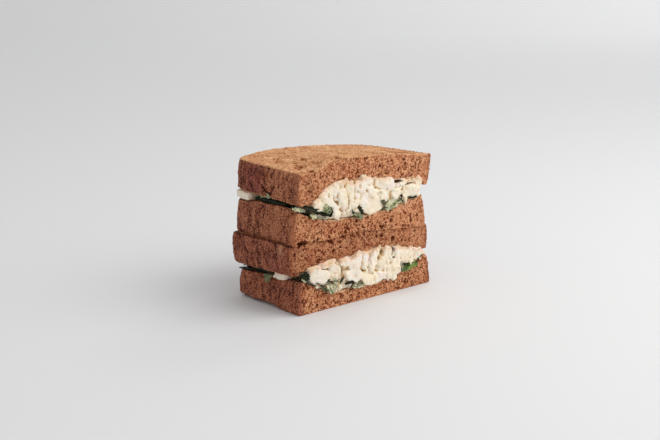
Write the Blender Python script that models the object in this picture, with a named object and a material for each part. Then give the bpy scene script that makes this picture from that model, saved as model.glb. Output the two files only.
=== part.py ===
"""A chicken salad sandwich on dark bread, cut once across, with its two halves stacked squarely.

X runs along the cut faces, Y from the cut back to the crust and Z up. The lowest slice stands on Z = 0.
Sizes are in millimetres, counted from the near left corner of the stack, and become metres about the
base centre as each mesh is made. The heights between the layers are levels, surfaces over (x, y) that
the bread, the salad and the leaves share, so that the pieces nest without touching.
"""

import math

import bmesh
import bpy
import numpy as np

METRE = 0.001
BASE_CENTRE = np.array([45.92, 33.31, 0.0])

# Room between the layers: half of the gap between two slices, what the salad and a leaf keep clear of the
# bread, the room under the salad for a leaf, and a leaf's thickness.
HALF_GAP = 0.2
SALAD_GAP = 0.8
LEAF_GAP = 0.45
LEAF_ROOM = 1.2
LEAF_THICKNESS = 0.5

# The crust bulges at mid height. A hump in a level dies out towards the back over this depth.
CRUST_BULGE = 0.9
HUMP_DEPTH = 62.0
STACK_WIDTH = 97.0
STACK_DEPTH = 54.0

# Plan of the loaf's two halves: straight side, reach of the back beyond it, and squareness of its curve.
DOMED_BACK = {"straight": 48.0, "reach": 22.0, "squareness": 1.9}
FLAT_BACK = {"straight": 49.0, "reach": 8.0, "squareness": 3.0}

# Each level: its line on the cut face as (x, z), its heights at the front and back of the left and right
# crusts, and the share of its hump that is left at the back.
LEVELS = {
    "table": {"cut": [(0, 0), (98, 0)], "left": (0, 0), "right": (0, 0), "keep": 0},
    "lower_floor": {
        "cut": [(0, 19.6), (8, 16.2), (15, 12.8), (24, 9.8), (44, 9), (65, 8.8), (78, 12.9), (95, 17.8)],
        "left": (19.6, 15.9),
        "right": (17.8, 16.5),
        "keep": 0.12,
    },
    "lower_roof": {
        "cut": [(-4, 22.6), (2, 23.8), (7, 25.9), (27, 27.9), (44, 30), (66, 28.3), (87, 23.7), (96, 20.8)],
        "left": (22.6, 20.6),
        "right": (20.8, 21.0),
        "keep": 0.12,
    },
    "middle": {
        "cut": [(-4, 38.8), (16, 38.9), (36, 40.6), (49, 40), (66, 38.4), (93, 36)],
        "left": (38.8, 38.3),
        "right": (36.0, 36.6),
        "keep": 0.3,
    },
    "upper_floor": {
        "cut": [(-2, 58.4), (5, 55.6), (16, 52.3), (27, 50.5), (49, 49.8), (61, 50.2), (79, 53.6), (92, 55.9)],
        "left": (58.4, 56.8),
        "right": (55.9, 56.6),
        "keep": 0.12,
    },
    "upper_roof": {
        "cut": [(0, 61.2), (7, 60.8), (12, 63.2), (20, 69.2), (30, 71.9), (46, 72), (60, 69.3), (82, 66.2), (89, 64.8), (94, 60)],
        "left": (61.2, 62.8),
        "right": (60.0, 60.6),
        "keep": 0.12,
    },
    "top": {
        "cut": [(0, 79.2), (8, 79), (22, 82.8), (32, 84.3), (44, 83.3), (70, 81.9), (86, 79.5), (98, 78.7)],
        "left": (79.2, 80.4),
        "right": (78.7, 76.6),
        "keep": 0.15,
    },
}

# The slices from the table up: the ends of the cut edge and how far the back reaches further, at the foot and
# at the head of the slice, its place in y, how far the back is skewed along x, its half of the loaf and its
# levels.
SLICES = {
    "slice_1": {"foot": (-0.4, 99.4, -2.2), "head": (1.2, 96.2, 0.0), "front": 0.0, "skew": -2.8,
                "back": FLAT_BACK, "floor": "table", "roof": "lower_floor"},
    "slice_2": {"foot": (-4.7, 97.4, 0.0), "head": (-6.4, 97.0, -0.6), "front": 1.2, "skew": -1.0,
                "back": FLAT_BACK, "floor": "lower_roof", "roof": "middle"},
    "slice_3": {"foot": (-3.8, 94.4, 0.0), "head": (-2.2, 90.8, -0.8), "front": -0.2, "skew": 0.0,
                "back": DOMED_BACK, "floor": "middle", "roof": "upper_floor"},
    "slice_4": {"foot": (0.4, 96.2, 0.0), "head": (1.0, 98.4, -3.0), "front": 0.0, "skew": -3.0,
                "back": DOMED_BACK, "floor": "upper_roof", "roof": "top"},
}

# The salad in each half: the ends of its core along the cut, and the diced chicken that shows at the cut
# as (x, z, width, height, turn in degrees).
SALAD_INSET = 6.0
CORE_FRONT = 1.4
CHUNK_DEPTH = 9.0
CHUNK_PROUD = (0.8, 2.4)
RIM_CHUNK = (7.0, 9.0, 5.0)
RIM_SPACING = 11.0
SALADS = {
    "salad_lower": {
        "ends": (9.0, 90.0), "floor": "lower_floor", "roof": "lower_roof", "back": FLAT_BACK, "seed": 5,
        "chunks": [(17, 19.8, 20, 9.5, 12), (19, 25.6, 14, 4.5, 8), (36, 15.8, 12, 8, 0), (38, 22.8, 11, 8.5, -8),
                   (47, 26.2, 10, 8, 10), (51, 13.8, 11, 9.5, 5), (54.5, 23, 6, 11.5, -18), (60, 13.5, 9, 8, 0),
                   (65, 18.5, 12, 9.5, -10), (67.5, 25, 8, 6, 8), (70.5, 13, 8, 7, 20), (75, 22.5, 7, 8, -20),
                   (80, 19.5, 9, 6.5, 10), (87, 19.4, 11, 4.6, -12)],
    },
    "salad_upper": {
        "ends": (11.0, 89.0), "floor": "upper_floor", "roof": "upper_roof", "back": DOMED_BACK, "seed": 7,
        "chunks": [(13.5, 60, 8.5, 6.5, 25), (17.5, 63.5, 7, 6, 40), (23.5, 65.6, 10, 8.5, 30), (30.5, 69, 8, 5, 10),
                   (30.5, 59.5, 6.5, 12, 8), (25, 55.5, 7, 6, -15), (38, 60.5, 8.5, 15, -14), (46.5, 67.3, 8, 8.5, -6),
                   (51.5, 56.8, 20, 11.5, -12), (58.5, 65, 11, 8, 12), (62.5, 59.6, 10, 6, 0), (70.5, 62, 8.5, 9, 8),
                   (80.5, 60.6, 11, 7, -6), (87, 60.6, 8, 6, 8)],
    },
}

# Chicken on its own at the left crust: centre, size, turn about the vertical, and the levels around it.
LOOSE_CHICKEN = {
    "chicken_slab": {"centre": (1.9, 48.5, 59.8), "size": (8.0, 13.0, 6.0), "turn": -12,
                     "floor": "upper_floor", "roof": "upper_roof", "seed": 3},
    "chicken_shred": {"centre": (2.6, 15.2, 20.2), "size": (8.0, 11.5, 3.6), "turn": 4,
                      "floor": "lower_floor", "roof": "lower_roof", "seed": 8},
}

# Leaves: the level that each lies on, the foot, heading and length of its midrib, its width, and the fold
# where it passes the bread: the way the edge faces, its distance from the near left corner that way, the
# bend there (down is positive), and how strongly the free end waves. Angles are in degrees from +X.
LEAVES = {
    "leaf_upper_left": {"on": "upper_floor", "foot": (5.5, 10), "heading": 92, "length": 27, "width": 12,
                        "fold": (180, 6.0), "bend": 0, "wave": 0.0},
    "leaf_upper_corner": {"on": "upper_floor", "foot": (22, 2.6), "heading": 180, "length": 25, "width": 9,
                          "fold": (270, 0.6), "bend": 40, "wave": 0.2},
    "leaf_upper_middle": {"on": "upper_floor", "foot": (42, 9), "heading": 271, "length": 12.5, "width": 8,
                          "fold": (270, 0.6), "bend": 50, "wave": 0.3},
    "leaf_upper_right": {"on": "upper_floor", "foot": (68, 9), "heading": 270, "length": 13.5, "width": 18,
                         "fold": (270, 0.6), "bend": -32, "wave": 0.5},
    "leaf_upper_side": {"on": "upper_floor", "foot": (78, 26), "heading": 4, "length": 18, "width": 13,
                        "fold": (0, 95.0), "bend": 25, "wave": 0.3},
    "leaf_upper_back": {"on": "upper_floor", "foot": (57, 44), "heading": 68, "length": 28, "width": 15,
                        "fold": (68, 88.4), "bend": 30, "wave": 0.3},
    "leaf_lower_corner": {"on": "lower_floor", "foot": (12, 2.8), "heading": 180, "length": 13.5, "width": 7.5,
                          "fold": (270, 0.7), "bend": 30, "wave": 0.2},
    "leaf_lower_side": {"on": "lower_floor", "foot": (11, 27), "heading": 178, "length": 17, "width": 8,
                        "fold": (180, 1.2), "bend": 72, "wave": 0.2},
    "leaf_lower_tip": {"on": "lower_floor", "foot": (9, 36), "heading": 123, "length": 20, "width": 9,
                       "fold": (180, 6.0), "bend": 0, "wave": 0.0},
    "leaf_lower_front": {"on": "lower_floor", "foot": (22, 9), "heading": 270, "length": 14, "width": 12,
                         "fold": (270, 0.7), "bend": 60, "wave": 0.5},
    "leaf_lower_middle": {"on": "lower_floor", "foot": (42, 9), "heading": 270, "length": 11, "width": 17,
                          "fold": (270, 0.7), "bend": 8, "wave": 0.3},
    "leaf_lower_right": {"on": "lower_floor", "foot": (80.5, 9), "heading": 274, "length": 12.5, "width": 17,
                         "fold": (270, 0.7), "bend": 15, "wave": 0.5},
    "leaf_lower_back": {"on": "lower_floor", "foot": (36, 39), "heading": 95, "length": 23, "width": 15,
                        "fold": (90, 58.4), "bend": 50, "wave": 0.4},
}
FOLD_RADIUS = 0.9

COLOURS = {
    "bread": ((0.42, 0.17, 0.075, 1.0), 0.85),
    "salad": ((0.78, 0.66, 0.47, 1.0), 0.4),
    "chicken": ((0.80, 0.72, 0.58, 1.0), 0.5),
    "leaf": ((0.045, 0.13, 0.025, 1.0), 0.4),
}


def smoothstep(share):
    share = np.clip(share, 0.0, 1.0)
    return share * share * (3.0 - 2.0 * share)


def smooth_through(points, x):
    """Height at x of a curve that runs smoothly through (x, z) points and stays level past its ends."""
    along, height = np.array(points, float).T
    slope = np.gradient(height, along)
    slope[[0, -1]] = 0.0
    x = np.clip(x, along[0], along[-1])
    i = np.clip(np.searchsorted(along, x) - 1, 0, len(along) - 2)
    span = along[i + 1] - along[i]
    t = (x - along[i]) / span
    rise = 3 * t**2 - 2 * t**3
    bend = (t**3 - 2 * t**2 + t) * slope[i] + (t**3 - t**2) * slope[i + 1]
    return height[i] * (1 - rise) + height[i + 1] * rise + bend * span


def level(name, x, y):
    """Height of a level at (x, y): the line of the cut face, easing back to the heights at the crusts."""
    shape = LEVELS[name]
    x, y = np.asarray(x, float), np.asarray(y, float)
    across = np.clip(x / STACK_WIDTH, 0.0, 1.0)
    deep = np.clip(y / STACK_DEPTH, 0.0, 1.0)
    front = shape["left"][0] * (1 - across) + shape["right"][0] * across
    back = shape["left"][1] * (1 - across) + shape["right"][1] * across
    fade = shape["keep"] + (1 - shape["keep"]) * (1 - smoothstep(y / HUMP_DEPTH))
    return front * (1 - deep) + back * deep + (smooth_through(shape["cut"], x) - front) * fade


def plan(ends, front, back, grow, columns):
    """Outline as two curves from the right front corner to the left one: the cut, and the crust round the back.

    The crust is straight along both sides and then half a superellipse, and grow moves its back outwards.
    """
    left, right = ends
    middle, half = (left + right) / 2, (right - left) / 2
    cut = np.stack([np.linspace(right, left, columns + 1), np.full(columns + 1, float(front))], 1)
    turn = np.linspace(0, math.pi, 721)
    power = 2 / back["squareness"]
    bow_x = middle + half * np.sign(np.cos(turn)) * np.abs(np.cos(turn)) ** power
    bow_y = back["straight"] + (back["reach"] + grow) * np.abs(np.sin(turn)) ** power
    route = np.concatenate([[[right, front]], np.stack([bow_x, bow_y], 1), [[left, front]]])
    run = np.concatenate([[0], np.cumsum(np.linalg.norm(np.diff(route, axis=0), axis=1))])
    stops = np.linspace(0, run[-1], columns + 1)
    crust = np.stack([np.interp(stops, run, route[:, k]) for k in (0, 1)], 1)
    return cut, crust


def turned(points, degrees, about):
    """Points turned in their first two coordinates about a centre."""
    c, s = math.cos(math.radians(degrees)), math.sin(math.radians(degrees))
    moved = np.array(points, float)
    a, b = moved[..., 0] - about[0], moved[..., 1] - about[1]
    moved[..., 0], moved[..., 1] = about[0] + a * c - b * s, about[1] + a * s + b * c
    return moved


def grid_faces(index):
    """Quads of a grid of vertex numbers."""
    return np.stack([index[:-1, :-1], index[1:, :-1], index[1:, 1:], index[:-1, 1:]], -1).reshape(-1, 4)


def make_solid(name, points, faces, finish):
    """One closed mesh object from points in millimetres, welded and with its faces pointing out."""
    mesh = bpy.data.meshes.new(name)
    bm = bmesh.new()
    verts = [bm.verts.new(p) for p in (np.asarray(points, float) - BASE_CENTRE) * METRE]
    for face in faces:
        corners = list(dict.fromkeys(int(k) for k in face))
        if len(corners) > 2:
            bm.faces.new([verts[k] for k in corners])
    bmesh.ops.remove_doubles(bm, verts=bm.verts, dist=1e-7)
    bmesh.ops.dissolve_degenerate(bm, edges=bm.edges, dist=1e-7)
    bmesh.ops.recalc_face_normals(bm, faces=bm.faces)
    bm.to_mesh(mesh)
    bm.free()
    mesh.shade_smooth()
    mesh.set_sharp_from_angle(angle=math.radians(50))
    mesh.materials.append(material(finish))
    obj = bpy.data.objects.new(name, mesh)
    bpy.context.scene.collection.objects.link(obj)
    return obj


def material(finish):
    found = bpy.data.materials.get(finish)
    if found:
        return found
    colour, roughness = COLOURS[finish]
    made = bpy.data.materials.new(finish)
    made.use_nodes = True
    shader = made.node_tree.nodes["Principled BSDF"]
    shader.inputs["Base Color"].default_value = colour
    shader.inputs["Roughness"].default_value = roughness
    shader.inputs["Metallic"].default_value = 0.0
    return made


def slab(outline, floor, roof, columns, rows, steps):
    """Points and faces of a closed slab between two surfaces.

    Its top and bottom are ruled from the cut to the crust, and its wall runs round both.
    outline(h) gives the two curves at height share h, and rows are the row counts below and above.
    """
    blocks, faces = [], []

    def add(block):
        start = sum(len(b) for b in blocks)
        blocks.append(block.reshape(-1, 3))
        return start + np.arange(block.shape[0] * block.shape[1]).reshape(block.shape[:2])

    for h, surface, count in ((0, floor, rows[0]), (1, roof, rows[1])):
        cut, crust = outline(h)
        share = np.linspace(0, 1, count + 1)[:, None, None]
        flat = cut * (1 - share) + crust * share
        faces.append(grid_faces(add(np.dstack([flat, surface(flat[..., 0], flat[..., 1])]))))
    wall = []
    for h in np.linspace(0, 1, steps + 1):
        cut, crust = outline(h)
        loop = np.concatenate([cut[:-1], crust[::-1]])
        low, high = floor(loop[:, 0], loop[:, 1]), roof(loop[:, 0], loop[:, 1])
        wall.append(np.column_stack([loop, low + (high - low) * h]))
    faces.append(grid_faces(add(np.array(wall))))
    return np.concatenate(blocks), np.concatenate(faces)


def bread_slice(name, spec):
    """A slice of bread between two levels, with one cut edge, and a crust that bulges and leans."""
    foot, head = np.array(spec["foot"]), np.array(spec["head"])
    floor_gap = 0.0 if spec["floor"] == "table" else HALF_GAP

    def outline(h):
        bulge = CRUST_BULGE * (1 - (2 * h - 1) ** 2)
        left, right, reach = foot * (1 - h) + head * h
        curves = plan((left - bulge, right + bulge), spec["front"], spec["back"], bulge + reach, columns=30)
        for curve in curves:
            curve[:, 0] += spec["skew"] * curve[:, 1] / STACK_DEPTH
        return curves

    points, faces = slab(
        outline,
        floor=lambda x, y: level(spec["floor"], x, y) + floor_gap,
        roof=lambda x, y: level(spec["roof"], x, y) - HALF_GAP,
        columns=30,
        rows=(2, 7) if spec["floor"] == "table" else (6, 6),
        steps=4,
    )
    return make_solid(name, points, faces, "bread")


def diced(rng, centre, size, low, high, lean, turn=0):
    """A diced piece of chicken: a box with its edges taken off, knocked out of true and held between surfaces."""
    bm = bmesh.new()
    bmesh.ops.create_cube(bm, size=1.0)
    bmesh.ops.bevel(bm, geom=list(bm.edges), offset=0.2, segments=1, affect="EDGES", profile=0.5)
    at = np.array([v.co for v in bm.verts]) * (1 + rng.uniform(-0.09, 0.09, (len(bm.verts), 3))) * size
    faces = [[v.index for v in f.verts] for f in bm.faces]
    bm.free()
    at[:, [0, 2]] = turned(at[:, [0, 2]], lean, (0, 0))
    at = turned(at, turn, (0, 0)) + centre
    at[:, 2] = np.clip(at[:, 2], low(at[:, 0], at[:, 1]), high(at[:, 0], at[:, 1]))
    return at, faces


def rim_places(ends, back):
    """Places along the core's right side and round its back, where the salad shows between the crusts."""
    crust = plan(ends, CORE_FRONT, back, 0.0, columns=60)[1]
    run = np.concatenate([[0], np.cumsum(np.linalg.norm(np.diff(crust, axis=0), axis=1))])
    for stop in np.arange(RIM_SPACING, run[-1] - back["straight"] - RIM_SPACING, RIM_SPACING):
        yield [float(np.interp(stop, run, crust[:, k])) for k in (0, 1)]


def salad(name, spec):
    """Chicken salad: a core that fills the half, with the diced chicken that shows fused on."""
    rng = np.random.default_rng(spec["seed"])
    deep = {**spec["back"], "straight": spec["back"]["straight"] - SALAD_INSET}

    def low(x, y):
        return level(spec["floor"], x, y) + SALAD_GAP + LEAF_ROOM

    def high(x, y):
        return np.maximum(level(spec["roof"], x, y) - SALAD_GAP, low(x, y) + 0.6)

    def outline(h):
        bulge = 1.5 * math.sin(math.pi * h)
        return plan((spec["ends"][0] - bulge, spec["ends"][1] + bulge), CORE_FRONT, deep, bulge, columns=24)

    pieces = []
    for x, z, width, height, lean in spec["chunks"]:
        proud = rng.uniform(*CHUNK_PROUD)
        centre = np.array([x, CHUNK_DEPTH / 2 - proud, z])
        pieces.append(diced(rng, centre, np.array([width, CHUNK_DEPTH, height]), low, high, lean))
    for x, y in rim_places(spec["ends"], deep):
        centre = np.array([x, y, float(low(x, y) + high(x, y)) / 2])
        pieces.append(diced(rng, centre, np.array(RIM_CHUNK), low, high, rng.uniform(-20, 20), rng.uniform(0, 90)))

    core = make_solid(name, *slab(outline, low, high, columns=24, rows=(5, 5), steps=2), "salad")
    extras = bpy.data.collections.new(name + "_chunks")
    bpy.context.scene.collection.children.link(extras)
    for points, faces in pieces:
        piece = make_solid("chunk", points, faces, "salad")
        bpy.context.scene.collection.objects.unlink(piece)
        extras.objects.link(piece)
    join = core.modifiers.new("join", "BOOLEAN")
    join.operation, join.operand_type, join.collection, join.solver = "UNION", "COLLECTION", extras, "EXACT"
    joined = bpy.data.meshes.new_from_object(core.evaluated_get(bpy.context.evaluated_depsgraph_get()))
    core.modifiers.clear()
    core.data = joined
    for piece in list(extras.objects):
        bpy.data.objects.remove(piece)
    bpy.data.collections.remove(extras)


def leaf(name, spec):
    """A thin leaf with a pointed foot and tip. It lies on a level, and past the bread it folds over the edge."""
    along = np.linspace(0, 1, 9)[:, None]
    across = np.linspace(-1, 1, 5)[None, :]
    heading = math.radians(spec["heading"])
    step = spec["length"] * along
    side = spec["width"] / 2 * np.sin(math.pi * (0.06 + 0.88 * along)) ** 0.7 * across
    x = spec["foot"][0] + step * math.cos(heading) - side * math.sin(heading)
    y = spec["foot"][1] + step * math.sin(heading) + side * math.cos(heading)
    z = level(spec["on"], x, y) + LEAF_GAP + LEAF_THICKNESS / 2

    facing, edge = math.radians(spec["fold"][0]), spec["fold"][1]
    past = np.maximum(x * math.cos(facing) + y * math.sin(facing) - edge, 0.0)
    bend = math.radians(abs(spec["bend"]))
    turn = np.minimum(past / FOLD_RADIUS, bend)
    beyond = past - turn * FOLD_RADIUS
    out = FOLD_RADIUS * np.sin(turn) + beyond * math.cos(bend)
    drop = FOLD_RADIUS * (1 - np.cos(turn)) + beyond * math.sin(bend)
    x = x + (out - past) * math.cos(facing)
    y = y + (out - past) * math.sin(facing)
    z = z - np.copysign(drop, spec["bend"])
    z = z + spec["wave"] * np.sin(7 * along + 2.4 * across) * np.abs(across) * smoothstep(past / 3)

    middle = np.dstack([x, y, z])
    normal = np.cross(np.gradient(middle, axis=0), np.gradient(middle, axis=1))
    normal /= np.linalg.norm(normal, axis=2, keepdims=True)
    sheets = np.stack([middle - normal * LEAF_THICKNESS / 2, middle + normal * LEAF_THICKNESS / 2])
    number = np.arange(sheets[..., 0].size).reshape(sheets.shape[:3])
    sides = [number[0], number[1], number[:, :, 0], number[:, :, -1], number[:, 0, :], number[:, -1, :]]
    return make_solid(name, sheets.reshape(-1, 3), np.concatenate([grid_faces(s) for s in sides]), "leaf")


def loose_chicken(name, spec):
    """A piece of chicken that lies on its own between two slices."""

    def low(x, y):
        return level(spec["floor"], x, y) + HALF_GAP + 0.4

    def high(x, y):
        return level(spec["roof"], x, y) - HALF_GAP - 0.4

    rng = np.random.default_rng(spec["seed"])
    points, faces = diced(rng, np.array(spec["centre"]), np.array(spec["size"]), low, high, 0, spec["turn"])
    return make_solid(name, points, faces, "chicken")


def main():
    for old in list(bpy.data.objects):
        bpy.data.objects.remove(old)
    makers = ((bread_slice, SLICES), (salad, SALADS), (loose_chicken, LOOSE_CHICKEN), (leaf, LEAVES))
    for make, specs in makers:
        for name, spec in specs.items():
            make(name, spec)


main()
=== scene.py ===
"""Looks of a chicken salad sandwich on dark bread, cut once and stacked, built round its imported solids.

X runs along the cut faces, Y from the cut back to the crust and Z up. Sizes are in millimetres, counted from
the near left corner of the stack, and become metres about the base centre as each mesh is made.
"""

import math

import bmesh
import bpy
import numpy as np
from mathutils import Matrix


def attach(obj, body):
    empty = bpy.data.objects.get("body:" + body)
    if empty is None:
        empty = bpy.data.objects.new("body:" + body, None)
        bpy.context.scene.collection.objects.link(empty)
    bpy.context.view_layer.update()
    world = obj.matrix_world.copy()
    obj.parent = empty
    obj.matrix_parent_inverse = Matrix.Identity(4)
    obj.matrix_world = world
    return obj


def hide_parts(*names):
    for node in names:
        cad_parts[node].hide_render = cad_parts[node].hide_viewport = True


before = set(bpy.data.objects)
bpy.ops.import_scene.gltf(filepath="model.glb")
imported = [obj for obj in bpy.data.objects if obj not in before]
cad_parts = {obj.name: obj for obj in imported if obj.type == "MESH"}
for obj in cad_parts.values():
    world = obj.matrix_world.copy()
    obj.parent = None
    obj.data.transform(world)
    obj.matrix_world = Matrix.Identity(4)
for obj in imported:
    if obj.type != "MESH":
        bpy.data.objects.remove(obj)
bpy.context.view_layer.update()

METRE = 0.001
BASE_CENTRE = np.array([45.92, 33.31, 0.0])
DETAIL = 1.0

# Camera, found from the corners of the stack in the photograph: place in the millimetres above, angles in
# radians, and the distance in pixels from the eye to a picture 660 pixels wide.
CAMERA_AT = (-392.36, -484.83, 209.99)
CAMERA_DOWN = 0.2446
CAMERA_HEADING = 0.7066
CAMERA_FOCUS_PX = 1200.0
PICTURE_WIDTH_PX = 660.0
PICTURE_HEIGHT_PX = 440.0
SENSOR = 36.0

# Shared sizes of the bread, as the solids have them, and the middle of its cut face in x.
MIDDLE = 48.0
HALF_GAP = 0.2
CRUST_BULGE = 0.9
HUMP_DEPTH = 62.0
STACK_WIDTH = 97.0
STACK_DEPTH = 54.0
DOMED_BACK = {"straight": 48.0, "reach": 22.0, "squareness": 1.9}
FLAT_BACK = {"straight": 49.0, "reach": 8.0, "squareness": 3.0}

# Each level between the layers: its line on the cut face as (x, z), its heights at the front and back of the
# left and right crusts, and the share of its hump that is left at the back. A lift is how much higher it is
# along the left crust, where the gap over it is narrow.
LEVELS = {
    "table": {"cut": [(0, 0), (98, 0)], "left": (0, 0), "right": (0, 0), "keep": 0},
    "lower_floor": {
        "cut": [(0, 19.6), (8, 16.2), (15, 12.8), (24, 9.8), (44, 9), (65, 8.8), (78, 12.9), (95, 17.8)],
        "left": (19.6, 15.9),
        "right": (17.8, 16.5),
        "keep": 0.12,
    },
    "lower_roof": {
        "cut": [(-4, 22.6), (2, 23.8), (7, 25.6), (18, 26.4), (27, 26.6), (36, 26.4), (44, 28.9),
                (51, 27.4), (56, 28.6), (66, 27.3), (74, 26.2), (87, 23.2), (96, 20.8)],
        "left": (22.6, 20.6),
        "right": (20.8, 21.0),
        "keep": 0.12,
    },
    "middle": {
        "cut": [(-4, 39.9), (3, 40.3), (16, 40.0), (26, 40.2), (36, 41.0), (49, 40.2), (66, 38.4),
                (93, 36)],
        "left": (39.6, 38.6),
        "right": (36.0, 36.6),
        "keep": 0.3,
    },
    "upper_floor": {
        "cut": [(-2, 58.4), (5, 55.6), (16, 52.3), (27, 50.5), (49, 49.8), (61, 50.2), (79, 53.6),
                (92, 55.9)],
        "left": (58.4, 56.8),
        "right": (55.9, 56.6),
        "keep": 0.12,
        "lift": 1.8,
    },
    "upper_roof": {
        "cut": [(0, 61.2), (7, 60.8), (12, 63.8), (20, 69.6), (26, 71.4), (32, 70.8), (38, 69.2), (46, 71.4),
                (53, 70.2), (60, 69.0), (82, 65.4), (89, 64.6), (94, 60)],
        "left": (61.2, 62.8),
        "right": (60.0, 60.6),
        "keep": 0.12,
    },
    "top": {
        "cut": [(0, 79.2), (8, 79), (22, 82.8), (32, 84.3), (44, 83.3), (70, 81.9), (86, 79.5), (98, 78.7)],
        "left": (79.2, 80.4),
        "right": (78.7, 76.6),
        "keep": 0.15,
    },
}

# The slices from the table up: the ends of the cut edge and how far the back reaches further, at the foot
# and at the head of the slice, its place in y, the skew of its back along x, its half of the loaf, its
# levels, the salad that it touches and on which of them, and the seed of its crumb.
SLICES = {
    "slice_1": {
        "foot": (-0.4, 99.4, -2.2), "head": (1.2, 96.2, 0.0), "front": 0.0, "skew": -2.8,
        "back": FLAT_BACK, "floor": "table", "roof": "lower_floor", "salad": "salad_lower", "wet": "roof",
        "seed": 100,
    },
    "slice_2": {
        "foot": (-4.7, 97.4, 0.0), "head": (-6.4, 97.0, -0.6), "front": 1.2, "skew": -1.0,
        "back": FLAT_BACK, "floor": "lower_roof", "roof": "middle", "salad": "salad_lower", "wet": "floor",
        "seed": 1100,
    },
    "slice_3": {
        "foot": (-3.8, 94.4, 0.0), "head": (-2.2, 90.8, -0.8), "front": -0.2, "skew": 0.0,
        "back": DOMED_BACK, "floor": "middle", "roof": "upper_floor", "salad": "salad_upper", "wet": "roof",
        "seed": 2100,
    },
    "slice_4": {
        "foot": (0.4, 96.2, 0.0), "head": (1.0, 98.4, -3.0), "front": 0.0, "skew": -3.0,
        "back": DOMED_BACK, "floor": "upper_roof", "roof": "top", "salad": "salad_upper", "wet": "floor",
        "seed": 3100,
    },
}


# ---------------------------------------------------------------- numbers

def smoothstep(share):
    """3t² - 2t³ of the share held between 0 and 1."""
    share = np.clip(share, 0.0, 1.0)
    return share * share * (3.0 - 2.0 * share)


def smooth_through(points, x):
    """Height at x of a cubic Hermite curve through (x, z) points, level past its ends."""
    along, height = np.array(points, float).T
    slope = np.gradient(height, along)
    slope[[0, -1]] = 0.0
    x = np.clip(x, along[0], along[-1])
    i = np.clip(np.searchsorted(along, x) - 1, 0, len(along) - 2)
    span = along[i + 1] - along[i]
    t = (x - along[i]) / span
    rise = 3 * t**2 - 2 * t**3
    bend = (t**3 - 2 * t**2 + t) * slope[i] + (t**3 - t**2) * slope[i + 1]
    return height[i] * (1 - rise) + height[i + 1] * rise + bend * span


def level(name, x, y):
    """Height of a level at (x, y): the line of the cut face, easing back to the heights at the crusts.

    A level with a lift is that much higher near the left crust, from 10 to 31 mm behind the cut. The lift
    eases in before that, and away by 50 mm back and 18 mm inwards.
    """
    shape = LEVELS[name]
    x, y = np.asarray(x, float), np.asarray(y, float)
    across = np.clip(x / STACK_WIDTH, 0.0, 1.0)
    deep = np.clip(y / STACK_DEPTH, 0.0, 1.0)
    front = shape["left"][0] * (1 - across) + shape["right"][0] * across
    back = shape["left"][1] * (1 - across) + shape["right"][1] * across
    fade = shape["keep"] + (1 - shape["keep"]) * (1 - smoothstep(y / HUMP_DEPTH))
    height = front * (1 - deep) + back * deep + (smooth_through(shape["cut"], x) - front) * fade
    lifted = smoothstep((y - 2) / 8) * (1 - smoothstep((y - 31) / 19)) * (1 - smoothstep((x - 4) / 14))
    return height + shape.get("lift", 0.0) * lifted


def hashed(cells, seed):
    """A random number from 0 to 1 for each whole-number cell (..., 3), the same on each run."""
    c = cells.astype(np.int64)
    h = c[..., 0] * 73856093 ^ c[..., 1] * 19349663 ^ c[..., 2] * 83492791 ^ (seed * 2654435761)
    h = (h ^ (h >> 13)) * 1274126177 & 0xFFFFFFFF
    h = (h ^ (h >> 16)) * 2246822519 & 0xFFFFFFFF
    return ((h ^ (h >> 15)) & 0xFFFFFF) / float(0xFFFFFF)


def value_noise(points, size, seed):
    """Smooth noise from -1 to 1: random values at the corners of cells of a size, blended by smoothsteps."""
    p = points / size
    base = np.floor(p)
    t = smoothstep(p - base)
    total = np.zeros(len(p))
    for corner in np.ndindex(2, 2, 2):
        weight = np.prod(np.where(corner, t, 1 - t), axis=1)
        total += weight * hashed(base + corner, seed)
    return total * 2 - 1


def layered_noise(points, size, seed, layers=3, fall=0.5):
    """Sum of value noises, each at half the size and a fall of the strength of the last."""
    total, weight = np.zeros(len(points)), 0.0
    for k in range(layers):
        total += fall**k * value_noise(points, size / 2**k, seed + 17 * k)
        weight += fall**k
    return total / weight


def way_out(points, directions, size, radii, share, seed, squash=1.0):
    """How far points must go along directions to leave the round balls that they are in, or 0 outside them.

    Each cell of a size holds, with a chance of share, one ball at a random place. From a point at v from its
    centre the way out along d is sqrt((v·d)² - |v|² + r²) - v·d. Against the normals it makes the open
    bubbles of a cut crumb, and along them the bumps of small lumps.
    """
    stretch = np.array([1.0, 1.0, squash])
    p = points * stretch
    d = directions * stretch
    d = d / np.maximum(np.linalg.norm(d, axis=1, keepdims=True), 1e-9)
    base = np.floor(p / size)
    way = np.zeros(len(p))
    for step in np.ndindex(3, 3, 3):
        cell = base + np.array(step) - 1
        centre = (cell + np.stack([hashed(cell, seed + k) for k in (1, 2, 3)], axis=1)) * size
        radius = radii[0] + (radii[1] - radii[0]) * hashed(cell, seed + 4) ** 2
        radius = np.where(hashed(cell, seed + 5) < share, radius, 0.0)
        v = p - centre
        along = np.einsum("ij,ij->i", v, d)
        room = radius**2 - np.einsum("ij,ij->i", v, v)
        out = np.sqrt(np.maximum(along**2 + room, 0)) - along
        way = np.maximum(way, np.where(room > 0, out, 0))
    return way


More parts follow.
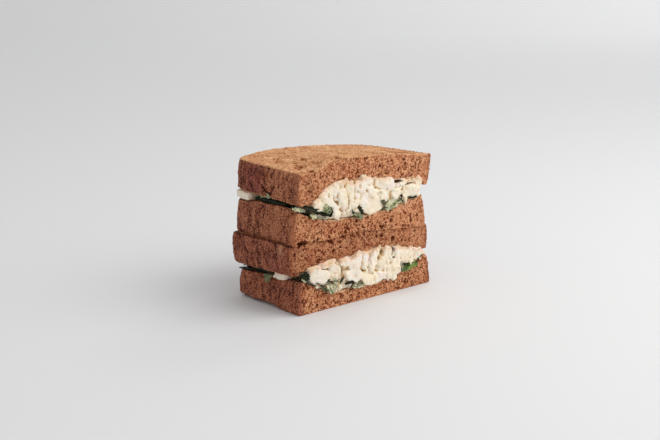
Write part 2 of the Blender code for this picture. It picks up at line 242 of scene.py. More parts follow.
def in_picture(places, y):
    """Points (x, y, z) of the planes y that show at places (u, v) of the photograph.

    The places are in pixels from its top left, and each ray from the eye is followed to its plane.
    """
    places = np.array(places, float)
    aside = (places[..., 0] - PICTURE_WIDTH_PX / 2) / CAMERA_FOCUS_PX
    above = (PICTURE_HEIGHT_PX / 2 - places[..., 1]) / CAMERA_FOCUS_PX
    ahead = math.cos(CAMERA_DOWN) + above * math.sin(CAMERA_DOWN)
    ray = np.stack([
        math.sin(CAMERA_HEADING) * ahead + math.cos(CAMERA_HEADING) * aside,
        math.cos(CAMERA_HEADING) * ahead - math.sin(CAMERA_HEADING) * aside,
        math.cos(CAMERA_DOWN) * above - math.sin(CAMERA_DOWN),
    ], -1)
    return np.array(CAMERA_AT) + ray * ((y - CAMERA_AT[1]) / ray[..., 1])[..., None]


# ---------------------------------------------------------------- meshes

def make_piece(name, points, faces, material, values):
    """A mesh object from points in millimetres, faces, a material, and named values on its points."""
    mesh = bpy.data.meshes.new(name)
    mesh.from_pydata((np.asarray(points) - BASE_CENTRE) * METRE, [], faces)
    for key, numbers in values.items():
        held = mesh.attributes.new(key, "FLOAT", "POINT")
        held.data.foreach_set("value", np.asarray(numbers, np.float32))
    mesh.materials.append(material)
    mesh.shade_smooth()
    obj = bpy.data.objects.new(name, mesh)
    bpy.context.scene.collection.objects.link(obj)
    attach(obj, "root")
    return obj


def normals_at(points, quads):
    """Unit normals at the points: the sum of the cross products of the diagonals of the quads round each."""
    a = points[quads[:, 2]] - points[quads[:, 0]]
    b = points[quads[:, 3]] - points[quads[:, 1]]
    cross = np.cross(a, b)
    total = np.zeros_like(points)
    for k in range(4):
        for axis in range(3):
            total[:, axis] += np.bincount(quads[:, k], cross[:, axis], len(points))
    return total / np.maximum(np.linalg.norm(total, axis=1, keepdims=True), 1e-12)


def relax(points, quads, weight, rounds):
    """Points moved towards the mean of their neighbours by a weight for each, so that edges round off."""
    start = np.concatenate([quads[:, k] for k in range(4)])
    end = np.concatenate([quads[:, (k + 1) % 4] for k in range(4)])
    both = np.concatenate([start, end])
    other = np.concatenate([end, start])
    count = np.maximum(np.bincount(both, minlength=len(points)), 1)
    for _ in range(rounds):
        sums = [np.bincount(both, points[other, k], len(points)) for k in range(3)]
        mean = np.stack(sums, 1) / count[:, None]
        points = points + (mean - points) * weight[:, None]
    return points


# How far each hidden ring of a slab has shrunk towards the middle, as a share.
RINGS = (0.012, 0.028, 0.05, 0.078, 0.115, 0.165, 0.24, 0.36, 0.52, 0.72)


def slab_shares(grid, full_roof):
    """Shares (s, v, h) and quads of a slab: its wall, and above and below a full grid or shrinking rings.

    The wall is a grid round the border of the square (s, v) and up h. A hidden face is drawn in from the
    border in rings towards the middle of the square, where a single point closes it.
    """
    nx, ny, nz = (int(steps * DETAIL) for steps in grid)
    t, w = np.linspace(0, 1, nx + 1)[:-1], np.linspace(0, 1, ny + 1)[:-1]
    border = np.concatenate([
        np.stack([t, 0 * t], 1),
        np.stack([0 * w + 1, w], 1),
        np.stack([1 - t, 0 * t + 1], 1),
        np.stack([0 * w, 1 - w], 1),
    ])
    n = len(border)
    heights = np.linspace(0, 1, nz + 1)
    shares = [np.concatenate([np.column_stack([border, np.full(n, h)]) for h in heights])]
    around = np.arange(n)
    after = (around + 1) % n
    quads = []

    def band(low, high):
        quads.append(np.stack([low[around], low[after], high[after], high[around]], 1))

    rows = [np.arange(n) + k * n for k in range(nz + 1)]
    for low, high in zip(rows[:-1], rows[1:]):
        band(low, high)
    used = n * (nz + 1)
    for h, last in ((0.0, rows[0]), (1.0, rows[-1])):
        if h == 1.0 and full_roof:
            number = np.full((nx + 1, ny + 1), -1)
            edge = np.round(border * (nx, ny)).astype(int)
            number[edge[:, 0], edge[:, 1]] = last
            inner = number < 0
            number[inner] = used + np.arange(inner.sum())
            used += inner.sum()
            shares.append(np.column_stack([np.argwhere(inner) / (nx, ny), np.ones(inner.sum())]))
            cells = [number[:-1, :-1], number[1:, :-1], number[1:, 1:], number[:-1, 1:]]
            quads.append(np.stack(cells, -1).reshape(-1, 4))
            continue
        for shrink in RINGS:
            ring = used + np.arange(n)
            shares.append(np.column_stack([0.5 + (border - 0.5) * (1 - shrink), np.full(n, h)]))
            used += n
            band(*((ring, last) if h == 0.0 else (last, ring)))
            last = ring
        shares.append([[0.5, 0.5, h]])
        middle = np.full(n, used)
        used += 1
        band(*((middle, last) if h == 0.0 else (last, middle)))
    return np.concatenate(shares), np.concatenate(quads)


def quads_and_triangles(quads):
    """Faces as lists, with a quad that meets one point twice made a triangle."""
    same = (quads[:, 0] == quads[:, 1]) | (quads[:, 2] == quads[:, 3])
    faces = quads[~same].tolist()
    for face in quads[same].tolist():
        faces.append(list(dict.fromkeys(face)))
    return faces


# ---------------------------------------------------------------- bread

END_CROWDING = 0.42
THINNEST_LAYER = 0.6

# Steps of a slice's grid along the cut, back from it and up. The top slice's goes over its top as well.
SLICE_GRID = (390, 130, 52)
TOP_SLICE_GRID = (340, 120, 48)

# How often a slice's edges are softened, how near the crust's line that tells, how far in x the left crust's
# looks reach and in y the cut's, and the deepest that a pore goes.
SOFTENING_ROUNDS = 14
CRUST_EDGE = 3.0
LEFT_SIDE = 20.0
CUT_SIDE = 4.0
DEEPEST_PORE = 1.4


def between_levels(shares, left, right, front, back, extra, skew, floor, roof, gaps):
    """Where shares (s, v, h) of a layer lie.

    s runs along the cut, crowded towards its ends, v from the cut to a back that is half a superellipse
    on straight sides, and h from the floor to the roof, which are levels with gaps to keep to them.
    """
    s, v, h = shares.T
    t = 2 * s - 1
    u = (1 - END_CROWDING) * t + END_CROWDING * np.sin(t * math.pi / 2)
    power = back["squareness"]
    arch = (1 - np.abs(u) ** power).clip(0) ** (1 / power)
    depth = back["straight"] + (back["reach"] + extra) * arch
    x = (left + right) / 2 + (right - left) / 2 * u
    y = front + v * (depth - front)
    x = x + skew * y / STACK_DEPTH
    low = level(floor, x, y) + gaps[0]
    high = np.maximum(level(roof, x, y) - gaps[1], low + THINNEST_LAYER)
    return np.column_stack([x, y, low + (high - low) * h])


# No gap shows where bread is pressed on bread or stands on the table. Elsewhere each side keeps half a gap.
VISIBLE_GAP = {"table": 0.0, "middle": 0.0}


def slice_points(spec, shares):
    """Where shares of a slice lie: its ends go from foot to head with its height, and its crust bulges."""
    h = shares[:, 2]
    foot, head = np.array(spec["foot"]), np.array(spec["head"])
    left, right, reach = (foot[k] * (1 - h) + head[k] * h for k in range(3))
    bulge = CRUST_BULGE * (1 - (2 * h - 1) ** 2)
    gaps = [VISIBLE_GAP.get(spec[side], HALF_GAP) for side in ("floor", "roof")]
    return between_levels(shares, left - bulge, right + bulge, spec["front"], spec["back"], bulge + reach,
                          spec["skew"], spec["floor"], spec["roof"], gaps)


def crust_distance(spec, points):
    """Shortest distance in plan from each point to the crust's line at mid height, found piece by piece."""
    t = np.linspace(0, 1, 60)
    line = np.concatenate([
        np.column_stack([0 * t, t, 0 * t + 0.5]),
        np.column_stack([t, 0 * t + 1, 0 * t + 0.5])[1:],
        np.column_stack([0 * t + 1, 1 - t, 0 * t + 0.5])[1:],
    ])
    line = slice_points(spec, line)[:, :2]
    best = np.full(len(points), 1e9)
    for a, b in zip(line[:-1], line[1:]):
        along = b - a
        share = np.clip(((points[:, :2] - a) @ along) / (along @ along), 0, 1)
        best = np.minimum(best, np.linalg.norm(points[:, :2] - a - share[:, None] * along, axis=1))
    return best


# How dark each slice's crust is baked beside the cut and far from it, how much paler it is right at the cut,
# how far it curls round the near corner, how strongly it stains the crumb next to it on the left and on the
# right, the share of large pores, how dark the crumb is, and how much darker than its middle the crumb gets
# towards the near corner and how much paler towards the right.
LOOKS = {
    "slice_1": {"baked": (0.6, 0.45), "corner": 0.0, "curl": 2.6, "rim": (0.9, 0.9), "pores": 0.55,
                "dark": 0.0, "tilt": (1.0, -0.2)},
    "slice_2": {"baked": (0.6, 0.45), "corner": 0.1, "curl": 0.0, "rim": (0.8, 0.8), "pores": 0.8,
                "dark": 0.42, "tilt": (1.0, 1.0)},
    "slice_3": {"baked": (0.0, 0.2), "corner": 0.9, "curl": 0.0, "rim": (0.4, 0.4), "pores": 0.4,
                "dark": 0.0, "tilt": (1.0, 1.5)},
    "slice_4": {"baked": (-0.05, 0.6), "corner": 0.3, "curl": 0.0, "rim": (0.1, 0.6), "pores": 0.6,
                "dark": 0.0, "tilt": (0.2, 0.8)},
}


def smear(spec, points, seed):
    """How much mayonnaise has rubbed off on the edge of the cut beside the salad, from 0 to 1."""
    salad = SALADS[spec["salad"]]
    x, y, z = points.T
    edge = level(spec[spec["wet"]], x, y)
    reach = 0.7 + 1.8 * np.clip(value_noise(points * (1, 0, 0), 5.0, seed) + 0.2, 0, 1)
    patchy = smoothstep(0.75 + 1.5 * layered_noise(points, 2.2, seed + 1, 3))
    ends = smoothstep((x - salad["ends"][0]) / 4) * smoothstep((salad["ends"][1] - x) / 4)
    return (1 - smoothstep(np.abs(z - edge) / reach)) * patchy * ends * (y < 3)


# Places torn or gouged out of the bread: slice, centre, size of the dent and its depth, which is less than 0
# for a crumb that stands up.
GOUGES = [
    ("slice_3", (2.0, 0, 40.9), (8.4, 9, 2.4), 3.0),
    ("slice_2", (2.0, 1, 40.3), (8.4, 9, 2.0), 2.8),
    ("slice_2", (0.8, 1, 39.4), (3.0, 8, 4.0), 2.4),
    ("slice_2", (-5.2, 2, 40.0), (5, 5, 1.6), 1.4),
    ("slice_2", (16.5, 1, 40.0), (4.4, 3, 2.4), 1.6),
    ("slice_2", (22.4, 1, 39.0), (3.6, 4, 3.4), 2.4),
    ("slice_2", (24.0, 1, 37.6), (2.6, 4, 2.6), 2.2),
    ("slice_2", (31.6, 1, 39.8), (4.0, 4, 2.6), 2.2),
    ("slice_3", (33.0, 0, 42.2), (2.2, 3, 3.2), 1.9),
    ("slice_3", (34.6, 0, 43.8), (2.4, 3, 2.0), 1.8),
    ("slice_3", (60.5, 0, 40.4), (3.6, 3, 2.6), 1.8),
    ("slice_3", (67.6, 0, 43.0), (2.6, 3, 3.0), 2.2),
    ("slice_3", (77.8, 0, 38.6), (3.4, 3, 2.0), 1.8),
    ("slice_2", (62.0, 1, 35.0), (3.0, 3, 3.0), 1.8),
    ("slice_2", (70.8, 1, 31.4), (3.2, 3, 3.0), 1.9),
    ("slice_4", (9.6, 2.4, 80.0), (5.0, 6, 3.0), 1.6),
    ("slice_4", (11.3, 52.8, 80.6), (4.0, 7, 3), 1.1),
    ("slice_4", (13.7, 38.4, 80.6), (4.0, 8, 3), 1.1),
    ("slice_4", (11.0, 32.7, 80.4), (6.0, 7, 3), 1.2),
    ("slice_4", (10.3, 15.4, 80.2), (6.0, 7, 3), 1.0),
    ("slice_4", (19.0, 8.8, 81.4), (5.0, 8, 3), 1.0),
    ("slice_4", (20.1, 22.2, 81.9), (5.0, 7, 3), 1.0),
    ("slice_4", (40.6, 47.5, 80.4), (5.0, 9, 3), 0.9),
    ("slice_4", (45.3, 17.4, 82.6), (6.5, 8, 3), 1.1),
    ("slice_4", (30.4, 4.6, 84.1), (3.6, 8, 3), 1.4),
    ("slice_4", (62.5, 9.5, 82.2), (9.0, 10, 3), 1.1),
    ("slice_4", (76.0, 9.0, 80.2), (5.0, 9, 3), 1.2),
    ("slice_4", (83.6, 17.8, 79.3), (3.6, 8, 3), 1.4),
    ("slice_4", (89.0, 5.0, 79.0), (4.0, 7, 3), 1.2),
    ("slice_4", (58.5, 71.5, 78.8), (5.0, 6, 5), -1.3),
    ("slice_4", (84, 16, 79.6), (15, 28, 5), 0.75),
    ("slice_4", (92.5, 2, 78.4), (7, 9, 5), -0.6),
    ("slice_4", (25, 0, 83.5), (7, 6, 1.8), 1.1),
    ("slice_4", (9, 13, 80), (12, 7, 4), 0.9),
    ("slice_4", (21, 20, 83), (13, 6, 4), 0.8),
    ("slice_4", (48, 0, 81.8), (5, 4, 2), 0.9),
    ("slice_1", (78, 0, 17), (5, 3, 1.5), 0.9),
]

# Cracks in the left crust as chains of (y, z), each with its width and depth.
CRACKS = [
    ("slice_4", [(30.4, 68.6), (27.9, 65.6), (25.6, 64.2), (24.2, 60.6)], 1.0, 3.0),
    ("slice_4", [(25.0, 63.6), (22.8, 66.8), (20.2, 69.4)], 0.6, 1.6),
    ("slice_4", [(25.8, 64.2), (26.6, 62.4), (27.4, 60.4)], 1.5, 2.8),
    ("slice_4", [(17.5, 75.5), (16.4, 71.5), (16.9, 67.5)], 0.5, 0.9),
    ("slice_3", [(31.5, 56.0), (32.2, 50.0), (31.0, 43.0)], 0.5, 0.8),
    ("slice_1", [(17.0, 19.0), (15.5, 12.5), (16.8, 7.0)], 0.7, 1.2),
    ("slice_1", [(6.5, 18.0), (5.0, 10.0), (5.8, 3.0)], 0.7, 1.1),
    ("slice_2", [(12.5, 37.0), (11.0, 31.5)], 0.5, 0.8),
]


def dents(name, points):
    """Depth of the gouges and cracks of a slice at its points.

    A gouge is a rounded hollow that eases out over its size. A crack is a groove along its chain, by
    1 - smoothstep(distance / width) as deep as its depth.
    """
    deep = np.zeros(len(points))
    for owner, centre, size, depth in GOUGES:
        if owner == name:
            away = np.linalg.norm((points - centre) / size, axis=1) * 2
            dent = depth * (1 - smoothstep(away - 0.25))
            deep = np.where(np.abs(dent) > np.abs(deep), dent, deep)
    for owner, chain, width, depth in CRACKS:
        if owner != name:
            continue
        for a, b in zip(np.array(chain[:-1]), np.array(chain[1:])):
            along = b - a
            share = np.clip(((points[:, 1:] - a) @ along) / (along @ along), 0, 1)
            away = np.linalg.norm(points[:, 1:] - a - share[:, None] * along, axis=1)
            deep = np.maximum(deep, depth * (1 - smoothstep(away / width)) * (points[:, 0] < 4))
    return deep


def worn_foot(spec, points):
    """The bottom slice's foot at its left crust, rounded by a radius and arched a little off the table.

    The radius is greatest at the far corner. A point inside the square of the edge moves onto the quarter
    circle, and an arch lifts the foot between 17 and 42 mm back.
    """
    t = np.linspace(0, 1, 80)
    line = slice_points(spec, np.column_stack([0 * t, t, 0 * t + 0.3]))
    x, y, z = points.T
    inward = x - np.interp(y, line[:, 1], line[:, 0])
    radius = 0.9 + 5.4 * smoothstep((y - 33) / 12)
    a, b = np.maximum(radius - inward, 0), np.maximum(radius - z, 0)
    away = np.maximum(np.hypot(a, b), radius)
    x, z = x + a * (1 - radius / away), z + b * (1 - radius / away)
    arch = 2.2 * smoothstep((y - 17) / 5) * (1 - smoothstep((y - 34) / 8)) * (1 - smoothstep(inward / 6))
    return np.column_stack([x, y, z + arch * (1 - z / 20).clip(0)])


def bread_form(spec, shares, quads, near_crust):
    """Points of a slice before its fine relief, with the edges of its cut and crust rounded off.

    In each round a point moves towards its neighbours by its softness, which is most at the crust and least
    where two slices are pressed together.
    """
    points = slice_points(spec, shares)
    h = shares[:, 2]
    by_crust = near_crust < CRUST_EDGE
    foot = (spec["floor"] == "middle") & (h < 0.3)
    roof = (spec["roof"] == "middle") & (h > 0.7)
    inner = np.where(foot, 0.03, np.where(roof, 0.3, 0.2))
    soft = np.where(by_crust, np.where(foot, 0.3, 0.55), inner)
    soft = np.where((h > 0.7) & by_crust & (spec["roof"] != "top"), 0.35, soft)
    soft = np.where((points[:, 1] < 2.5) & by_crust, 0.25 * (1 - 0.8 * foot), soft)
    points = relax(points, quads, soft, int(SOFTENING_ROUNDS * DETAIL))
    if spec["floor"] == "table":
        points = worn_foot(spec, points)
    return points


def skin_shares(spec, curl, shares, points, flat, near_crust):
    """How much of each point is crust, how much is sliced flat, and how much is ledge.

    A point of the back or the ends is crust where it stands upright. A ledge is the flat rim of crust round
    a slice that has another over it. The crust may also curl round the near corner onto the cut.
    """
    s, v, _ = shares.T
    lying = smoothstep(flat * 2 - 0.6)
    ledge = (1 - smoothstep((near_crust - 1.8) / 1.6)) * (spec["roof"] != "top")
    crust = np.where((s == 0) | (s == 1) | (v == 1), smoothstep(1.1 - flat * 2.2), 0.0)
    crust = np.maximum(crust, lying * ledge * 0.9)
    if curl > 0:
        reach = curl + 0.5 * layered_noise(points, 3.0, spec["seed"] + 35, 2)
        crust = np.maximum(crust, smoothstep((reach - points[:, 0]) / 0.9) * (points[:, 1] < 3))
    return crust, lying * (1 - ledge), ledge


def crumb_relief(spec, pores, points, place, normals, dense, crust, sliced):
    """Height of the cut crumb's grain, and the depth of its pores.

    A pore is the way out of the ball that a point lies in, held to DEEPEST_PORE by a tanh. The valleys of
    the grain are small pores too. Pores are shallow in quiet patches and near the crust, and all but gone in
    the crust. On the right of the top slice the large ones are fainter.
    """
    seed = spec["seed"]
    busy = smoothstep(0.62 + 1.2 * layered_noise(points, 7.0, seed + 40, 2))
    large = way_out(place, -normals, 3.2, (0.4, 1.35), pores, seed, 0.9)
    if spec["roof"] == "top":
        large = large * (1 - 0.6 * smoothstep((points[:, 0] - 72) / 8))
    middle = way_out(place, -normals, 1.45, (0.3, 0.72), 0.95, seed + 20, 0.8)
    grain = layered_noise(place, 1.15, seed + 70, 2, 0.8)
    valley = 1.5 * np.maximum(-grain - 0.2, 0)
    pore = np.maximum(np.maximum(large, middle) * (0.35 + 0.65 * busy), valley)
    pore = DEEPEST_PORE * np.tanh(pore / DEEPEST_PORE) * (0.3 + 0.7 * dense) * (1 - 0.9 * crust)
    pore = pore * (1 - 0.25 * sliced)
    streaks = layered_noise(points * (1, 1, 0.3), 1.1, seed + 75, 2) * (1 - dense) * (1 - crust)
    return 0.5 * np.maximum(grain, -0.15) + 0.25 * streaks, pore


def crust_relief(points, place, normals, seed):
    """Height of the baked crust, wrinkles less folds, pits and upright furrows, and the wrinkles alone."""
    upright = points * np.array([1.0, 1.0, 0.45])
    wrinkle = layered_noise(upright, 2.4, seed + 90, 4, 0.8)
    folds = np.abs(layered_noise(upright, 6.0, seed + 95, 3))
    furrow = np.abs(layered_noise(points * (1, 1, 0.2), 3.6, seed + 97, 2))
    patchy = smoothstep(0.5 + 2 * layered_noise(points, 6.0, seed + 98, 2))
    furrow = (1 - smoothstep(furrow / 0.1)) * patchy
    pits = way_out(place, -normals, 1.9, (0.2, 0.75), 0.6, seed + 30)
    height = 0.8 * wrinkle - 0.25 * (1 - smoothstep(folds / 0.12)) - 0.75 * np.minimum(pits, 0.8)
    return height - 0.75 * furrow, wrinkle


def baking(spec, looks, x, y, patch):
    """How dark the crust is baked, from 0 to 1: by its distance from the cut, and in broad patches.

    The top slice's left crust has a dark band 35 mm back and is paler past 42 mm.
    """
    left = x < LEFT_SIDE
    far = smoothstep((y - 16) / 20) * left + 0.5 * (x >= LEFT_SIDE)
    baked = looks["baked"][0] * (1 - far) + looks["baked"][1] * far
    band = 0.6 * np.exp(-((y - 35) / 5) ** 2) - 0.4 * smoothstep((y - 42) / 6)
    baked = baked + (spec["roof"] == "top") * left * band
    return np.clip(baked + 0.5 * patch, 0, 1)


def crumb_shade(spec, dark, points, crust):
    """How shaded the crumb of the cut is.

    A slice's darkness grows by painted shadow just under the seam, where the half above overhangs it, and
    towards the near corner, and falls towards the right. The top slice is darkened close to its near corner
    alone.
    """
    x, y, z = points.T
    at_cut = y < CUT_SIDE
    reach = 2.2 + 1.6 * layered_noise(points * (1, 1, 0), 6.0, spec["seed"] + 50, 2)
    # pressed is near 1 just under the seam, where painted shadow stands for the overhang of the half above.
    pressed = 1 - smoothstep((level("middle", x, y) - z) / reach)
    by_left = 0.8 * (1 - smoothstep((x + 6) / 12))
    by_right = 0.42 * smoothstep((x - MIDDLE) / 25)
    shade = dark * at_cut * (1 - crust) * (1 + 0.6 * pressed + by_left - by_right)
    top = spec["roof"] == "top"
    return shade + 0.35 * top * at_cut * (1 - crust) * np.exp(-((x - 7) / 4) ** 2)


def bread(name, spec):
    """A slice of bread: the solid's form with rounded edges, an open crumb where it is cut, and its crust.

    Each point moves along its normal by the fine relief of crumb or crust, less its dents, plus broad lumps.
    The values on the points say where the material is crumb, crust, stained or smeared, where shade is
    painted on it, and where painted light falls on the top slice's upper edge and crust.
    """
    looks, seed = LOOKS[name], spec["seed"]
    top = spec["roof"] == "top"
    shares, quads = slab_shares(TOP_SLICE_GRID if top else SLICE_GRID, top)
    near_crust = crust_distance(spec, slice_points(spec, shares))
    points = bread_form(spec, shares, quads, near_crust)
    normals = normals_at(points, quads)
    flat = normals[:, 2] ** 2
    crust, sliced, ledge = skin_shares(spec, looks["curl"], shares, points, flat, near_crust)
    dense = smoothstep((near_crust - 0.4) / 4.0)

    place = points + 0.6 * np.column_stack([layered_noise(points, 1.6, seed + 60 + k, 2) for k in range(3)])
    crumb, pore = crumb_relief(spec, looks["pores"], points, place, normals, dense, crust, sliced)
    wrinkled, wrinkle = crust_relief(points, place, normals, seed)
    fine = crust * wrinkled + (1 - crust) * crumb - pore
    deep = dents(name, points)
    broad = layered_noise(points, 17.0, seed + 80, 2)
    lumps = layered_noise(points, 5.0, seed + 85, 2)
    move = fine - deep + 0.3 * broad + lumps * (0.2 + 0.2 * crust) + 0.05
    h = shares[:, 2]
    if spec["floor"] == "table":
        move = np.where(h == 0, 0.0, move * smoothstep(points[:, 2] / 0.8 + 0.1))
    points = points + normals * move[:, None]
    points[:, 2] = np.maximum(points[:, 2], 0.0)

    x, y, z = points.T
    patch = layered_noise(points * (1, 1, 0.7), 15.0, seed + 51, 2)
    tilt = np.clip((x - MIDDLE) / 40, -1, 1)
    tilt = 0.06 * tilt * np.where(tilt < 0, *looks["tilt"]) * (y < CUT_SIDE) * (1 - crust)
    mottle = 0.2 * layered_noise(points * (1, 0.6, 1), 4.2, seed + 52, 3, 0.9) * sliced * top
    mottle = mottle * (1 + 0.7 * smoothstep((x - 45) / 30))
    # Painted light on the upper band of the top slice's crust, near the cut.
    painted_crust_light = 0.16 * top * crust * smoothstep((h - 0.72) / 0.28) * (1 - smoothstep((y - 10) / 14))
    # Pores, pits and dents colour darker through the relief: partly the crumb's own grain, partly painted
    # shade in those hollows.
    hollowed = fine - 0.45 * np.maximum(deep, -0.3 * deep)
    spread_over = 1.25 + 0.6 * crust * (x > LEFT_SIDE) + 0.25 * crust
    # Painted shade on the crust ledge of a slice that has another over it.
    painted_ledge_shade = 0.3 * ledge * (flat > 0.5)
    relief = 0.6 + hollowed / spread_over - painted_ledge_shade - 0.04 * crust + tilt + mottle + painted_crust_light

    from_left = near_crust + x * (x > 0) * (x < LEFT_SIDE)
    stained = (1 - smoothstep(from_left / 3.4 - 0.2)) * (1 - crust)
    stained = stained * np.where(x < MIDDLE, *looks["rim"])
    dust = 0.22 * np.exp(-((y - 8) / 2.5) ** 2 - ((z - 37.5) / 3.2) ** 2) * (x < 0)
    dust = dust * smoothstep(0.6 + wrinkle) * (name == "slice_2")
    smeared = smear(spec, points, seed + 99) * (1 - 0.5 * smoothstep(pore))
    on_back = (shares[:, 0] == 0) | (shares[:, 0] == 1) | (shares[:, 1] == 1)
    # edge marks where a painted highlight goes: the rounded upper edge of the top slice, along its crust and
    # at the cut near the left end.
    edge = on_back * (near_crust < 1.6) + (y < 2.2) * (1 - smoothstep((x - 6) / 5))
    values = {
        "relief": np.clip(relief, 0, 1),
        "crust": crust,
        "rim": stained,
        "sliced": sliced,
        "smear": np.maximum(smeared, dust),
        "shade": crumb_shade(spec, looks["dark"], points, crust),
        "baked": baking(spec, looks, x, y, patch),
        "corner": (1 - smoothstep((y - 0.6) / 5.5)) * crust * looks["corner"],
        "edge": np.exp(-((flat - 0.55) / 0.3) ** 2) * (h > 0.8) * np.minimum(edge, 1) * top,
    }
    faces = quads_and_triangles(quads)
    piece = make_piece(name.replace("slice", "bread"), points, faces, MATERIALS["bread"], values)
    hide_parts(name)


# ---------------------------------------------------------------- salad

# Each half's salad has two bodies. The one that shows at the cut has a finer core, bits and skin than the
# one behind it, which shows between the crusts.
CORE_FRONT = 0.9
CORE_BULGE = 1.5
CORE_GAPS = (0.2, -0.2)
CUT_BODY_DEPTH = 8.0
CUT_BODY_GRID = (260, 26, 64)
CUT_BODY_BITS = 380
CUT_BODY_VOXEL = 0.29
BACK_BODY_FRONT = 6.5
BACK_BODY_GRID = (150, 70, 30)
BACK_BODY_BITS = 200
BACK_BODY_VOXEL = 0.5
SALAD_INSET = 6.0
CHUNK_GAPS = (0.0, -0.2)
THINNEST_CHUNK = 0.3
OVER_THE_EDGE = 2.6

# Pieces at the cut: the plane that their outlines are read in, the most sides that an outline has, how much
# it is widened so that neighbours meet, how far a piece stands proud of the cut, how far its front and back
# lie from its centre, and the number of its bevels and how steeply they face the front. The holes between
# the pieces are read in a plane of their own.
PIECE_PLANE = -0.8
PIECE_SIDES = 9
PIECE_WIDENING = 1.06
PIECE_PROUD = (1.5, 2.2)
PIECE_FRONT = 3.0
PIECE_BACK = 4.5
BEVELS = 3
BEVEL_SLOPE = 0.66
HOLE_PLANE = -0.6

# Diced chunks along the rim between the crusts: their size and how far apart they lie.
RIM_CHUNK = (7.0, 9.0, 5.0)
RIM_SPACING = 11.0

# Rows and columns of the grids of the pieces at the cut, the chunks along the rim and the small bits.
PIECE_GRID = (44, 68)
RIM_GRID = (30, 44)
BIT_GRID = (12, 18)

# How far apart the noise of one piece in a batch is taken from that of the next, so that no two are alike.
NOISE_STEP = 97.0

